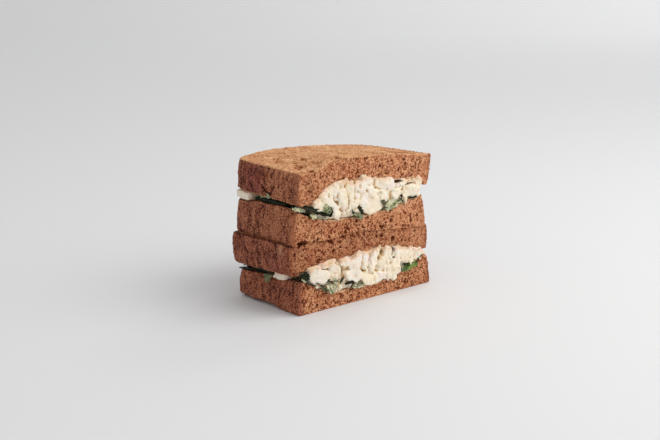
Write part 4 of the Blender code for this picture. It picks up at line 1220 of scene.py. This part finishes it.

# Shreds of leaf. At the cut: where the points of each show in the photograph, in pixels, how far each point
# stands proud of the cut, and the shred's width, how bright it is and how coated.
# Those with no brightness or coat are nearly black: dark leaf, and also painted shadow in the gaps at the
# left and under the pieces.
CUT_SHREDS = [
    ([(303.6, 207.6), (312, 209.8), (323, 213.6)], (0.2, 1.6, 2.0), 2.6, 0.0, 0.0),
    ([(312, 211.6), (322, 214), (331.5, 216)], (0.8, 1.9, 1.8), 2.3, 0.0, 0.0),
    ([(304.4, 211.2), (310, 213.2), (316, 216.4)], (0.4, 1.0, 0.9), 1.0, 0.0, 0.0),
    ([(292.6, 208.8), (297, 209.9), (301.6, 210.8)], (-2.4, 0.4, 1.0), 1.9, 0.7, 1.0),
    ([(298.6, 209.2), (301.6, 210.2), (304.8, 211.6)], (0.6, 1.4, 1.2), 1.8, 0.5, 0.45),
    ([(331.2, 210.6), (331.6, 212.6), (330.6, 215.4)], (1.8, 2.4, 2.0), 1.5, 0.0, 0.0),
    ([(322.6, 211), (327, 210), (332, 208.6)], (1.2, 2.0, 1.8), 3.6, 0.1, 0.0),
    ([(322.8, 212), (325.6, 209.6), (328.4, 207.2)], (2.4, 3.2, 3.0), 0.9, 1.0, 0.6),
    ([(325, 213), (328, 210.8), (331, 208.2)], (2.6, 3.4, 3.0), 0.8, 1.0, 0.5),
    ([(327.4, 214), (330, 212.0), (332.4, 209.8)], (2.6, 3.2, 2.8), 0.7, 1.0, 0.4),
    ([(323.6, 208.2), (326, 206.6), (328.4, 205.8)], (2.0, 2.8, 2.4), 1.2, 0.8, 0.6),
    ([(310.4, 213.8), (312.2, 216.4), (313.6, 219.2)], (0.8, 1.8, 1.8), 2.3, 0.8, 1.0),
    ([(312.4, 214.6), (314.4, 216.4), (317, 217.6)], (0.9, 1.8, 1.6), 1.9, 0.7, 0.95),
    ([(317, 216.6), (321, 218.0), (326, 218.4)], (0.6, 1.2, 0.7), 0.7, 0.5, 0.9),
    ([(358.4, 206.2), (360.6, 209.4), (363, 213.6)], (1.2, 2.2, 1.8), 1.9, 0.0, 0.0),
    ([(352.4, 211.6), (356, 214.6), (361.6, 215.2)], (0.8, 1.9, 1.6), 2.0, 0.25, 0.35),
    ([(352.8, 210.6), (353, 212.2), (353.6, 214)], (1.2, 1.9, 1.6), 1.2, 0.0, 0.0),
    ([(380.2, 198.8), (383, 201), (385.4, 205.4)], (1.2, 2.2, 2.0), 1.8, 0.05, 0.1),
    ([(381.4, 209.6), (383.4, 208.4), (384.8, 206)], (0.8, 1.6, 1.6), 1.7, 0.1, 0.1),
    ([(385.6, 206.6), (390.6, 202.4), (397, 199.4)], (1.0, 2.2, 1.6), 3.8, 0.85, 1.0),
    ([(386, 210), (391.6, 206.6), (398.6, 203.6)], (0.8, 1.8, 1.2), 2.6, 0.7, 0.95),
    ([(394.6, 202.6), (398.6, 200.8), (402.4, 200.6)], (1.2, 2.2, 1.6), 1.8, 0.35, 0.5),
    ([(392, 203.6), (393.2, 204), (394.4, 203.4)], (1.8, 2.5, 2.3), 1.0, 0.1, 0.2),
    ([(400.2, 194.6), (401.6, 196), (402.4, 196.4)], (1.4, 2.2, 1.8), 1.6, 0.0, 0.0),
    ([(400, 198), (401.2, 199.2), (402.4, 199.6)], (1.4, 2.2, 1.8), 1.6, 0.0, 0.0),
    ([(398.8, 200.6), (402, 202), (404.4, 203)], (0.8, 1.6, 1.0), 1.1, 0.1, 0.3),
    # A dark strip that stands for the shadow under the piece above it.
    ([(406.4, 195.8), (411.6, 197.6), (417.4, 195.6)], (0.3, 1.0, 0.3), 1.1, 0.0, 0.0),
    ([(301.4, 275), (304.6, 277.2), (308.6, 279.6)], (-0.4, 1.0, 0.8), 2.5, 0.0, 0.0),
    ([(302.6, 279.6), (306.6, 281.6), (311.6, 284.6)], (0.6, 1.1, 1.0), 1.0, 0.0, 0.1),
    ([(303.6, 272.6), (307, 275), (309.2, 278)], (-0.2, 0.6, 0.6), 1.8, 0.0, 0.0),
    ([(308.4, 282.0), (312, 284.4), (316.4, 286.6)], (0.2, 1.0, 0.7), 0.5, 0.0, 0.0),
    ([(301.8, 279.6), (303.6, 280.6), (306, 282.6)], (0.6, 1.4, 0.9), 1.1, 0.4, 1.0),
    ([(316.4, 283.4), (318, 284), (319.4, 284)], (1.6, 2.2, 2.0), 1.0, 0.1, 0.3),
    ([(321, 285.6), (323.6, 288.2), (327.6, 291.4)], (0.8, 1.9, 1.2), 1.7, 0.1, 0.1),
    ([(326.4, 283.8), (328.4, 287.4), (331.2, 291)], (1.2, 2.5, 1.8), 1.9, 0.75, 1.0),
    ([(330.4, 283.6), (332, 287), (333.4, 290.4)], (1.2, 2.5, 1.8), 1.9, 0.8, 1.0),
    ([(334.4, 284), (335.4, 286.6), (336.2, 289)], (1.0, 2.1, 1.5), 2.0, 0.4, 0.7),
    ([(325, 282.4), (329, 281.4), (333, 283.6)], (1.6, 2.6, 2.2), 1.2, 0.0, 0.0),
    ([(328, 281.4), (328.4, 280), (330, 279.4)], (2.0, 2.4, 2.2), 0.8, 0.0, 0.0),
    ([(332.6, 281.8), (336, 281.2), (338.6, 282)], (1.6, 2.2, 1.8), 0.9, 0.15, 0.2),
    ([(339.8, 283.4), (341.4, 280.4), (343, 277.2)], (1.0, 2.2, 1.8), 1.5, 0.05, 0.0),
    ([(345, 284.2), (350, 282.2), (356, 282.6)], (0.6, 1.8, 1.4), 1.8, 0.0, 0.0),
    ([(354, 282.6), (360, 282.6), (367, 282.2)], (0.6, 1.5, 0.9), 0.9, 0.15, 0.3),
    ([(352, 286.4), (358, 286.2), (364, 284.8)], (0.3, 1.4, 0.8), 2.0, 0.4, 1.0),
    ([(400.8, 269.4), (408, 267), (417.6, 262.8)], (0.8, 2.1, 1.0), 2.9, 1.0, 0.0),
    ([(404, 266), (410, 264.4), (416, 262)], (0.9, 2.0, 1.2), 2.2, 0.9, 0.0),
    ([(402.2, 264.4), (410, 263.8), (417.6, 260.8)], (1.2, 2.4, 1.2), 1.1, 0.0, 0.0),
    ([(402.6, 264.6), (402.8, 268), (401.4, 271.4)], (1.4, 2.2, 1.4), 2.0, 0.2, 0.35),
    ([(403.6, 271), (407, 270), (411, 268.4)], (0.4, 1.2, 0.5), 1.2, 0.6, 0.6),
    ([(396.8, 268.4), (398.6, 268.2), (400.6, 268.4)], (1.4, 2.0, 1.6), 1.0, 0.15, 0.3),
    ([(416.6, 259.6), (420, 256.2), (424, 253)], (0.6, 1.4, 0.9), 1.0, 0.0, 0.0),
]

# At the left crust and in the gaps there: the points of each, its width, and how bright and coated it is.
# The dark ones in the gaps between the slices are dark leaf, and also painted shadow inside those gaps.
CRUST_SHREDS = [
    ([(-0.2, 3.5, 22.2), (0.8, -0.6, 21.6), (3.4, -0.7, 20.8)], 1.2, 0.0, 0.0),
    ([(-0.3, 33.5, 61.4), (-0.9, 29, 63.2), (-0.4, 24.5, 62.4)], 2.2, 0.25, 0.6),
    ([(-0.2, 11, 60.5), (-0.9, 24, 60.3), (-0.4, 38, 60.0)], 2.2, 0.0, 0.0),
    ([(3.0, 8, 60.8), (2.2, 22, 60.7), (3.0, 40, 60.0)], 3.0, 0.0, 0.0),
    ([(0.6, 24, 19.0), (-0.2, 36, 19.2), (0.8, 50, 19.0)], 2.8, 0.0, 0.0),
    ([(4.0, 24, 19.8), (3.0, 38, 20.2), (4.5, 53, 19.8)], 4.2, 0.0, 0.0),
    ([(-1.0, 43, 20.2), (0.6, 50, 20.4), (4.5, 55, 20.0)], 3.6, 0.0, 0.0),
]


def on_leaf(spec, along, across):
    """Middle surface of a leaf: flat on its level inside the bread, turned about the fold past its edge.

    Its half width is sin(pi * along)^0.7 of the widest, with small lobes, and it waves past the fold.
    """
    heading = math.radians(spec["heading"])
    step = spec["length"] * along
    lobes = 1 + 0.07 * np.sin(21 * along + 1.3 * np.sign(across))
    lobes = lobes + 0.04 * np.sin(47 * along + 2 * np.sign(across))
    side = spec["width"] / 2 * np.sin(math.pi * (0.03 + 0.94 * along)) ** 0.7 * across * lobes
    x = spec["foot"][0] + step * math.cos(heading) - side * math.sin(heading)
    y = spec["foot"][1] + step * math.sin(heading) + side * math.cos(heading)
    z = level(spec["on"], x, y) + LEAF_GAP + LEAF_THICKNESS / 2
    facing, edge = math.radians(spec["fold"][0]), spec["fold"][1]
    past = np.maximum(x * math.cos(facing) + y * math.sin(facing) - edge, 0.0)
    bend = math.radians(abs(spec["bend"]))
    turn = np.minimum(past / FOLD_RADIUS, bend)
    beyond = past - turn * FOLD_RADIUS
    out = FOLD_RADIUS * np.sin(turn) + beyond * math.cos(bend)
    drop = FOLD_RADIUS * (1 - np.cos(turn)) + beyond * math.sin(bend)
    x = x + (out - past) * math.cos(facing)
    y = y + (out - past) * math.sin(facing)
    z = z - np.copysign(drop, spec["bend"])
    free = smoothstep(past / 3)
    z = z + spec["wave"] * np.sin(7 * along + 2.4 * across) * np.abs(across) * free
    return np.dstack([x, y, z]), free


def leaf(name, spec):
    """A leaf: two sheets either side of its middle surface, with veins, a ruffled edge and a thin rim.

    The veins are a midrib, exp(-(across / 0.07)²), and side ribs where a sine along the leaf is near 0.
    """
    rows, columns = (int(steps * DETAIL) for steps in LEAF_GRID)
    along = np.linspace(0, 1, rows)[:, None]
    across = np.linspace(-1, 1, columns)[None, :]
    middle, free = on_leaf(spec, along, across)
    normal = sheet_normals(middle)
    flat = middle.reshape(-1, 3)
    seed = 300 + 7 * list(LEAVES).index(name)
    crumple = layered_noise(flat, 3.4, seed, 3).reshape(rows, columns)
    ruffle = 0.5 * np.sin(38 * along + 3 * across + seed) * np.abs(across) ** 2.2
    midrib = np.exp(-((across / 0.07) ** 2)) * (1 - 0.6 * along)
    ribs = np.abs(np.sin(math.pi * (7.5 * along - 2.2 * np.abs(across) + 0.35)))
    side_ribs = (1 - smoothstep(ribs / 0.16)) * (1 - 0.5 * np.abs(across))
    vein = np.maximum(midrib, 0.75 * side_ribs)
    lift = (0.12 + 0.75 * free) * crumple * 0.9 + ruffle * free - 0.12 * vein
    middle = middle + normal * lift[..., None]
    edge = 1 - 0.8 * smoothstep((np.abs(across) - 0.8) / 0.2)
    points, quads = two_sheets(middle, normal, 0.16 * edge + 0.1 * midrib)
    both = np.broadcast_to(vein, (2, rows, columns)).reshape(-1)
    values = {
        "vein": both,
        "under": np.repeat([1.0, 0.0], rows * columns),
        "bright": 0 * both + spec["bright"],
        "coat": 0 * both + spec["coat"],
    }
    piece = make_piece("green_" + name, points, quads.tolist(), MATERIALS["leaf"], values)
    turn_outward(piece)
    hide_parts(name)


def turn_outward(piece):
    """Turn the faces of a closed piece outwards."""
    bm = bmesh.new()
    bm.from_mesh(piece.data)
    bmesh.ops.recalc_face_normals(bm, faces=bm.faces)
    bm.to_mesh(piece.data)
    bm.free()


def sheet_normals(middle):
    """Unit normals of a grid of points: the cross product of the ways along its rows and its columns."""
    normal = np.cross(np.gradient(middle, axis=0), np.gradient(middle, axis=1))
    return normal / np.maximum(np.linalg.norm(normal, axis=2, keepdims=True), 1e-9)


def two_sheets(middle, normal, half):
    """Points and quads of a closed thin body: sheets half a thickness either side of a middle surface."""
    sheets = np.stack([middle - normal * half[..., None], middle + normal * half[..., None]])
    number = np.arange(sheets[..., 0].size).reshape(sheets.shape[:3])
    sides = [number[0].T, number[1]]
    sides += [number[:, :, 0].T, number[:, :, -1], number[:, 0, :], number[:, -1, :].T]
    quads = [np.stack([g[:-1, :-1], g[1:, :-1], g[1:, 1:], g[:-1, 1:]], -1).reshape(-1, 4) for g in sides]
    return sheets.reshape(-1, 3), np.concatenate(quads)


def shred(path, width, seed, facing):
    """A torn shred of leaf: a strip along a curve through three points, cupped, ruffled and ragged.

    The curve is quadratic. The strip faces one way, leaning a little, and cups by the square of the way
    across it.
    """
    rows, columns = SHRED_GRID
    t = np.linspace(0, 1, rows)[:, None]
    u = np.linspace(-1, 1, columns)[None, :]
    a, b, c = np.array(path, float)
    b = 2 * b - (a + c) / 2
    line = (1 - t) ** 2 * a + 2 * t * (1 - t) * b + t**2 * c
    ahead = np.gradient(line, axis=0)
    ahead /= np.linalg.norm(ahead, axis=1, keepdims=True)
    lean = np.random.default_rng(seed).uniform(-0.7, 0.7)
    flat = np.cross(ahead, np.array(facing) * math.cos(lean) + np.array([0, 0, math.sin(lean)]))
    flat /= np.linalg.norm(flat, axis=1, keepdims=True)
    up = np.cross(flat, ahead)
    side_of = np.sign(u)
    ragged = 1 + 0.22 * np.sin(17 * t + seed + 2 * side_of) + 0.12 * np.sin(41 * t + 3 * seed * side_of)
    side = width / 2 * np.clip(1 - (2 * t - 1) ** 4, 0.02, 1) ** 0.5 * u * ragged
    cup = 0.28 * width * u**2 - 0.1 * width + 0.13 * width * np.sin(19 * t + 2.5 * u + seed) * np.abs(u)
    middle = line[:, None] + flat[:, None] * side[..., None] + up[:, None] * cup[..., None]
    rib = np.exp(-((u / 0.16) ** 2)) * (1 + 0 * t)
    points, quads = two_sheets(middle, sheet_normals(middle), 0.1 + 0.07 * rib)
    return points, quads, np.broadcast_to(rib, (2, rows, columns)).reshape(-1)


def leaf_shreds():
    """Shreds of leaf that show at the cut and at the left crust, as one piece."""
    shreds = [(in_picture(places, -np.array(proud)), width, bright, coat, (0.0, -1.0, 0.0))
              for places, proud, width, bright, coat in CUT_SHREDS]
    shreds += [(*given, (-1.0, 0.0, 0.0)) for given in CRUST_SHREDS]
    blocks, faces, start = [], [], 0
    values = {"vein": [], "under": [], "bright": [], "coat": []}
    for k, (path, width, bright, coat, facing) in enumerate(shreds):
        points, quads, rib = shred(path, width, 40 + k, facing)
        blocks.append(points)
        faces.append(quads + start)
        start += len(points)
        for key, value in zip(values, (rib, 0 * rib, bright + 0 * rib, coat + 0 * rib)):
            values[key].append(value)
    points, faces = np.concatenate(blocks), np.concatenate(faces).tolist()
    values = {key: np.concatenate(value) for key, value in values.items()}
    piece = make_piece("green_shreds", points, faces, MATERIALS["leaf"], values)
    turn_outward(piece)


def loose_chicken(name, spec):
    """A slab or shred of chicken at the left crust, with ridges along its fibres."""
    rng = np.random.default_rng(spec["seed"])
    grid = [int(steps * DETAIL) for steps in LOOSE_GRID]
    cuts = box_cuts(rng, [np.array(spec["size"]) * 1.04], 0.06, (0.78, 0.95))
    turn = [(0, 0, spec["turn"])]
    points, quads, values = cut_pieces(rng, [spec["centre"]], *cuts, turn, grid, 15.0, spec["lumpy"])
    points = keep_between(points, spec["floor"], spec["roof"], (0.4 - spec["hangs"], 0.35))
    points, quads = joined(points, quads)
    values = {key: value.reshape(-1) for key, value in values.items()}
    # The loose pieces take a fixed share of painted shade, as they lie in the shadow at the left crust.
    values["deep"] = 0 * points[:, 0] + 0.25
    values["hole"] = 0 * points[:, 0]
    values["painted_shade_under_bread"] = 0 * points[:, 0]
    piece = make_piece(name + "_cut", points, quads_and_triangles(quads), MATERIALS["chicken"], values)
    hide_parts(name)


# ---------------------------------------------------------------- materials

def add(tree, kind, settings=None, **inputs):
    """A shader node with settings, whose inputs are numbers, colours or other nodes' outputs.

    An input is given by its name, or by i and its number.
    """
    node = tree.nodes.new(kind)
    for key, setting in (settings or {}).items():
        setattr(node, key, setting)
    for key, value in inputs.items():
        wanted = key.replace("_", " ")
        socket = node.inputs[int(key[1:])] if key[0] == "i" and key[1:].isdigit() else node.inputs[wanted]
        if isinstance(value, bpy.types.NodeSocket):
            tree.links.new(value, socket)
        else:
            socket.default_value = value
    return node


def mix(tree, share, first, second):
    """Colour from first to second by a share. The node's colour sockets are its inputs 6 and 7."""
    return add(tree, "ShaderNodeMix", {"data_type": "RGBA"}, i0=share, i6=first, i7=second).outputs[2]


def maths(tree, operation, first, second, clamp=False):
    """Result of an operation on two numbers, held between 0 and 1 if it's clamped."""
    settings = {"operation": operation, "use_clamp": clamp}
    return add(tree, "ShaderNodeMath", settings, i0=first, i1=second).outputs[0]


def between(tree, value, low, high):
    """Share from 0 to 1 as a value goes from low to high, smoothed."""
    settings = {"interpolation_type": "SMOOTHSTEP"}
    return add(tree, "ShaderNodeMapRange", settings, Value=value, From_Min=low, From_Max=high).outputs[0]


def going(tree, share, low, high):
    """Number that goes from low to high as a share goes from 0 to 1."""
    return add(tree, "ShaderNodeMapRange", Value=share, To_Min=low, To_Max=high).outputs[0]


def noise(tree, size_mm, detail, stretch=(1, 1, 1)):
    """Noise over Object coordinates with features of a size in millimetres."""
    coordinate = add(tree, "ShaderNodeTexCoord").outputs["Object"]
    mapped = add(tree, "ShaderNodeMapping", Vector=coordinate, Scale=stretch).outputs[0]
    return add(tree, "ShaderNodeTexNoise", Vector=mapped, Scale=1000.0 / size_mm, Detail=detail).outputs[0]


def value_of(tree, name):
    """The named value on the points of the piece."""
    return add(tree, "ShaderNodeAttribute", {"attribute_name": name}).outputs["Fac"]


def new_material(name, **fixed):
    """A material, its node tree and its shader, with fixed numbers on the shader's own sockets."""
    made = bpy.data.materials.new(name)
    made.use_nodes = True
    shader = made.node_tree.nodes["Principled BSDF"]
    for key, value in fixed.items():
        shader.inputs[key.replace("_", " ")].default_value = value
    return made, made.node_tree, shader


def rgb(r, g, b):
    """Linear colour with full alpha from screen values of 0 to 255."""
    shares = (r / 255, g / 255, b / 255)
    return (*(c / 12.92 if c <= 0.04045 else ((c + 0.055) / 1.055) ** 2.4 for c in shares), 1.0)


def specks_group():
    """Small dark pores: random Voronoi cells, each with a round spot, as a mask."""
    group = bpy.data.node_groups.new("specks", "ShaderNodeTree")
    for label, default in (("Cells per metre", 900.0), ("Spot", 0.3), ("Share", 0.4)):
        socket = group.interface.new_socket(label, in_out="INPUT", socket_type="NodeSocketFloat")
        socket.default_value = default
    group.interface.new_socket("Mask", in_out="OUTPUT", socket_type="NodeSocketFloat")
    given = group.nodes.new("NodeGroupInput")
    result = group.nodes.new("NodeGroupOutput")
    coordinate = add(group, "ShaderNodeTexCoord").outputs["Object"]
    cell = add(group, "ShaderNodeTexVoronoi", Vector=coordinate, Scale=given.outputs["Cells per metre"])
    chosen = maths(group, "LESS_THAN", cell.outputs["Color"], given.outputs["Share"])
    inside = maths(group, "SUBTRACT", given.outputs["Spot"], cell.outputs["Distance"])
    soft = maths(group, "MULTIPLY", inside, 7.0, clamp=True)
    group.links.new(maths(group, "MULTIPLY", soft, chosen), result.inputs["Mask"])
    return group


def specks(tree, size_mm, spot, share):
    """Mask of small dark pores, with cells of a size and spots of a share of it, in a share of the cells."""
    node = tree.nodes.new("ShaderNodeGroup")
    node.node_tree = bpy.data.node_groups.get("specks") or specks_group()
    node.inputs["Cells per metre"].default_value = 1000.0 / size_mm
    node.inputs["Spot"].default_value = spot
    node.inputs["Share"].default_value = share
    return node.outputs["Mask"]


def ramp(tree, share, stops):
    """Colour along a ramp of (share, colour) stops."""
    node = add(tree, "ShaderNodeValToRGB", Fac=share)
    elements = node.color_ramp.elements
    while len(elements) < len(stops):
        elements.new(0.5)
    for element, (place, colour) in zip(elements, stops):
        element.position, element.color = place, colour
    return node.outputs[0]


def bread_material():
    """Brown crumb, dark in its pores and pale on its ridges, under a red-brown crust.

    Four ramps read the relief: the crumb's, the sliced top's, and the crust's where it is lightly and darkly
    baked. The values on the points mix them, and then stain them, darken them with painted shade, give the
    top slice's upper edge a painted highlight, and smear them.
    """
    made, tree, shader = new_material("bread", Specular_IOR_Level=0.12)
    dots = specks(tree, 0.8, 0.34, 0.35)
    grain = maths(tree, "SUBTRACT", noise(tree, 0.75, 2.0), 0.5)
    strength = going(tree, value_of(tree, "sliced"), 2.4, 1.9)
    relief = maths(tree, "ADD", value_of(tree, "relief"), maths(tree, "MULTIPLY", grain, strength))
    relief = maths(tree, "SUBTRACT", relief, maths(tree, "MULTIPLY", dots, 0.34))
    # Low relief is dark: partly the crumb's grain, partly painted shade in its pores and dents.
    crumb = ramp(tree, relief, [
        (0.0, rgb(72, 24, 10)), (0.2, rgb(118, 58, 36)), (0.42, rgb(176, 114, 78)),
        (0.6, rgb(200, 138, 98)), (0.8, rgb(214, 154, 112)), (1.0, rgb(232, 176, 134)),
    ])
    top = ramp(tree, relief, [
        (0.0, rgb(96, 40, 18)), (0.25, rgb(162, 100, 60)), (0.45, rgb(205, 148, 102)),
        (0.65, rgb(220, 167, 121)), (1.0, rgb(244, 196, 150)),
    ])
    crumb = mix(tree, value_of(tree, "sliced"), crumb, top)
    tone = between(tree, noise(tree, 9.0, 3.0), 0.35, 0.65)
    crumb = mix(tree, maths(tree, "MULTIPLY", tone, 0.25), crumb, rgb(178, 98, 62))
    # Painted shade: the crumb is darkened by the shade values, which hold the shadow under the seam.
    dark = maths(tree, "MULTIPLY", value_of(tree, "shade"), 0.6)
    crumb = mix(tree, dark, crumb, rgb(118, 58, 40))

    crust = ramp(tree, relief, [
        (0.0, rgb(60, 24, 14)), (0.28, rgb(112, 58, 38)), (0.48, rgb(156, 94, 66)),
        (0.7, rgb(176, 112, 80)), (1.0, rgb(202, 138, 102)),
    ])
    baked = ramp(tree, relief, [
        (0.0, rgb(50, 18, 12)), (0.28, rgb(96, 42, 32)), (0.48, rgb(132, 68, 56)),
        (0.7, rgb(148, 82, 66)), (1.0, rgb(174, 106, 86)),
    ])
    crust = mix(tree, value_of(tree, "baked"), crust, baked)
    streak = between(tree, noise(tree, 1.6, 2.0, (1, 1, 0.16)), 0.3, 0.62)
    corner = maths(tree, "MULTIPLY", value_of(tree, "corner"), maths(tree, "MULTIPLY", streak, 0.95))
    crust = mix(tree, corner, crust, rgb(196, 122, 84))
    rim = maths(tree, "MULTIPLY", value_of(tree, "rim"), 0.62)
    colour = mix(tree, rim, crumb, rgb(124, 64, 44))
    skin = value_of(tree, "crust")
    colour = mix(tree, skin, colour, crust)
    # Painted highlight along the top slice's upper edge.
    colour = mix(tree, maths(tree, "MULTIPLY", value_of(tree, "edge"), 0.7), colour, rgb(232, 170, 126))
    colour = mix(tree, maths(tree, "MULTIPLY", value_of(tree, "smear"), 0.85), colour, rgb(232, 196, 158))
    tree.links.new(colour, shader.inputs["Base Color"])
    tree.links.new(going(tree, skin, 0.88, 0.6), shader.inputs["Roughness"])
    fine_relief = maths(tree, "SUBTRACT", noise(tree, 0.5, 3.0), maths(tree, "MULTIPLY", dots, 0.6))
    bump = add(tree, "ShaderNodeBump", Strength=0.6, Distance=0.0003, Height=fine_relief)
    tree.links.new(bump.outputs[0], shader.inputs["Normal"])
    return made


def leaf_material():
    """Salad leaf: dark above, paler below and along its veins, with mayonnaise on some."""
    made, tree, shader = new_material("leaf", Roughness=0.5, Specular_IOR_Level=0.15)
    tone = between(tree, noise(tree, 4.0, 3.0), 0.35, 0.65)
    # The dark green is nearly black: the leaf's own colour, darkened further as painted shade for leaves in
    # the gaps between slices.
    dark = mix(tree, tone, rgb(14, 15, 6), rgb(36, 38, 16))
    bright = mix(tree, tone, rgb(84, 112, 40), rgb(142, 162, 80))
    colour = mix(tree, value_of(tree, "bright"), dark, bright)
    pale = maths(tree, "MULTIPLY", maths(tree, "ADD", value_of(tree, "bright"), 0.15, clamp=True), 0.5)
    colour = mix(tree, maths(tree, "MULTIPLY", value_of(tree, "under"), pale), colour, rgb(158, 172, 118))
    colour = mix(tree, maths(tree, "MULTIPLY", value_of(tree, "vein"), pale), colour, rgb(180, 194, 132))
    wet = between(tree, noise(tree, 2.6, 4.0), 0.72, 0.44)
    wet = maths(tree, "MULTIPLY", wet, value_of(tree, "coat"))
    colour = mix(tree, wet, colour, rgb(220, 216, 182))
    tree.links.new(colour, shader.inputs["Base Color"])
    bump = add(tree, "ShaderNodeBump", Strength=0.4, Distance=0.0002, Height=noise(tree, 0.7, 3.0))
    tree.links.new(bump.outputs[0], shader.inputs["Normal"])
    return made


def chicken_material():
    """Chicken in mayonnaise: pale and moist on its crests, golden in its grooves, lightly translucent."""
    fixed = {"Specular_IOR_Level": 0.35, "Subsurface_Weight": 0.4, "Subsurface_Scale": 0.0015}
    made, tree, shader = new_material("chicken", **fixed)
    shader.inputs["Subsurface Radius"].default_value = (1.0, 0.6, 0.35)
    colour = mix(tree, value_of(tree, "tone"), rgb(247, 237, 224), rgb(246, 231, 204))
    mottle = between(tree, noise(tree, 1.4, 3.0), 0.5, 0.72)
    colour = mix(tree, maths(tree, "MULTIPLY", mottle, 0.25), colour, rgb(232, 206, 170))
    # Painted shade, stronger behind the cut.
    deep = maths(tree, "MULTIPLY", value_of(tree, "deep"), 0.6)
    colour = mix(tree, deep, colour, rgb(222, 190, 138))
    # Painted golden shade in the grooves and holes.
    groove = between(tree, value_of(tree, "groove"), 0.2, 0.95)
    colour = mix(tree, maths(tree, "MULTIPLY", groove, 0.9), colour, rgb(206, 170, 116))
    # Painted shade under the bread.
    colour = mix(tree, maths(tree, "MULTIPLY", value_of(tree, "painted_shade_under_bread"), 0.6), colour, rgb(224, 176, 130))
    # Painted shade in the deep holes.
    colour = mix(tree, maths(tree, "MULTIPLY", value_of(tree, "hole"), 0.95), colour, rgb(120, 64, 24))
    tree.links.new(colour, shader.inputs["Base Color"])
    tree.links.new(going(tree, value_of(tree, "hole"), 0.42, 1.0), shader.inputs["Roughness"])
    bump = add(tree, "ShaderNodeBump", Strength=0.5, Distance=0.0002, Height=noise(tree, 0.6, 4.0))
    tree.links.new(bump.outputs[0], shader.inputs["Normal"])
    return made


MATERIALS = {"bread": bread_material(), "chicken": chicken_material(), "leaf": leaf_material()}


# ---------------------------------------------------------------- stage

LIGHT_SIZE = 0.8
KEY_POWER = 4.5
WASH_POWER = 11.5
SURROUND_LEFT = 0.48
SURROUND_RIGHT = 0.80


def camera():
    """The camera, where the photograph was taken from."""
    data = bpy.data.cameras.new("camera")
    data.sensor_width = SENSOR
    data.lens = SENSOR * CAMERA_FOCUS_PX / PICTURE_WIDTH_PX
    obj = bpy.data.objects.new("camera", data)
    bpy.context.scene.collection.objects.link(obj)
    obj.location = (np.array(CAMERA_AT) - BASE_CENTRE) * METRE
    obj.rotation_euler = (math.pi / 2 - CAMERA_DOWN, 0, -CAMERA_HEADING)
    bpy.context.scene.camera = obj


def area_light(name, at, towards, size, power, colour=(1, 1, 1)):
    """A square light at a place, turned towards another, with its side in metres and its power in watts."""
    data = bpy.data.lights.new(name, "AREA")
    data.size = size
    data.energy = power
    data.color = colour
    obj = bpy.data.objects.new(name, data)
    bpy.context.scene.collection.objects.link(obj)
    obj.location = at
    direction = np.array(towards, float) - np.array(at, float)
    tilt = math.acos(-direction[2] / np.linalg.norm(direction))
    obj.rotation_euler = (tilt, 0, math.atan2(-direction[0], direction[1]))


def stage():
    """A pale sweep: a floor that curves up far behind the sandwich, as the camera sees it.

    Its profile in metres runs level, then round a quarter circle and up, and is drawn out sideways.
    """
    ahead = np.array([math.sin(CAMERA_HEADING), math.cos(CAMERA_HEADING)])
    aside = np.array([ahead[1], -ahead[0]])
    near, reach, radius, rise, half_width = -3.0, 1.6, 0.9, 3.0, 4
    turn = np.linspace(0, math.pi / 2, 25)
    run = np.concatenate([[near, 0.0], reach + radius * np.sin(turn), [reach + radius]])
    height = np.concatenate([[0.0, 0.0], radius * (1 - np.cos(turn)), [rise]])
    wide = np.linspace(-half_width, half_width, 9)
    plan = ahead * run[:, None, None] + aside * wide[None, :, None]
    points = np.dstack([plan, np.repeat(height[:, None], len(wide), 1)]).reshape(-1, 3)
    number = np.arange(len(points)).reshape(len(run), len(wide))
    quads = np.stack([number[:-1, :-1], number[:-1, 1:], number[1:, 1:], number[1:, :-1]], -1)
    mesh = bpy.data.meshes.new("sweep")
    mesh.from_pydata(points, [], quads.reshape(-1, 4).tolist())
    mesh.shade_smooth()
    made, _, shader = new_material("sweep", Roughness=0.7, Specular_IOR_Level=0.2)
    shader.inputs["Base Color"].default_value = (0.80, 0.80, 0.80, 1)
    mesh.materials.append(made)
    obj = bpy.data.objects.new("sweep", mesh)
    bpy.context.scene.collection.objects.link(obj)


def light():
    """A soft light from the right and above, one that washes the sweep, and a pale surround.

    The surround's strength goes from SURROUND_LEFT to SURROUND_RIGHT by the cosine of a direction with the
    one to the right of the photograph.
    """
    right = np.array([math.cos(CAMERA_HEADING), -math.sin(CAMERA_HEADING), 0])
    ahead = np.array([math.sin(CAMERA_HEADING), math.cos(CAMERA_HEADING), 0])
    up = np.array([0, 0, 1.0])
    key_at = right * 0.62 - ahead * 0.12 + up * 0.7
    area_light("key", key_at, (0, 0, 0.03), LIGHT_SIZE, KEY_POWER, (1.0, 0.985, 0.97))
    wash_at = right * 1.25 + ahead * 1.9 + up * 1.6
    area_light("wash", wash_at, right * 0.5 + ahead * 2.4 + up * 0.3, LIGHT_SIZE, WASH_POWER)
    world = bpy.data.worlds.new("surround")
    bpy.context.scene.world = world
    world.use_nodes = True
    tree = world.node_tree
    facing = add(tree, "ShaderNodeTexCoord").outputs["Generated"]
    dot = add(tree, "ShaderNodeVectorMath", {"operation": "DOT_PRODUCT"}, i0=facing, i1=tuple(right))
    strength = add(tree, "ShaderNodeMapRange", Value=dot.outputs["Value"], From_Min=-1.0, From_Max=1.0,
                   To_Min=SURROUND_LEFT, To_Max=SURROUND_RIGHT)
    shader = tree.nodes["Background"]
    shader.inputs["Color"].default_value = (0.985, 0.99, 1.0, 1)
    tree.links.new(strength.outputs[0], shader.inputs["Strength"])


bpy.context.scene.view_settings.view_transform = "Standard"
camera()
stage()
light()
for name, spec in SLICES.items():
    bread(name, spec)
for name, spec in SALADS.items():
    salad(name, spec)
for name, spec in LEAVES.items():
    leaf(name, spec)
for name, spec in LOOSE_CHICKEN.items():
    loose_chicken(name, spec)
leaf_shreds()
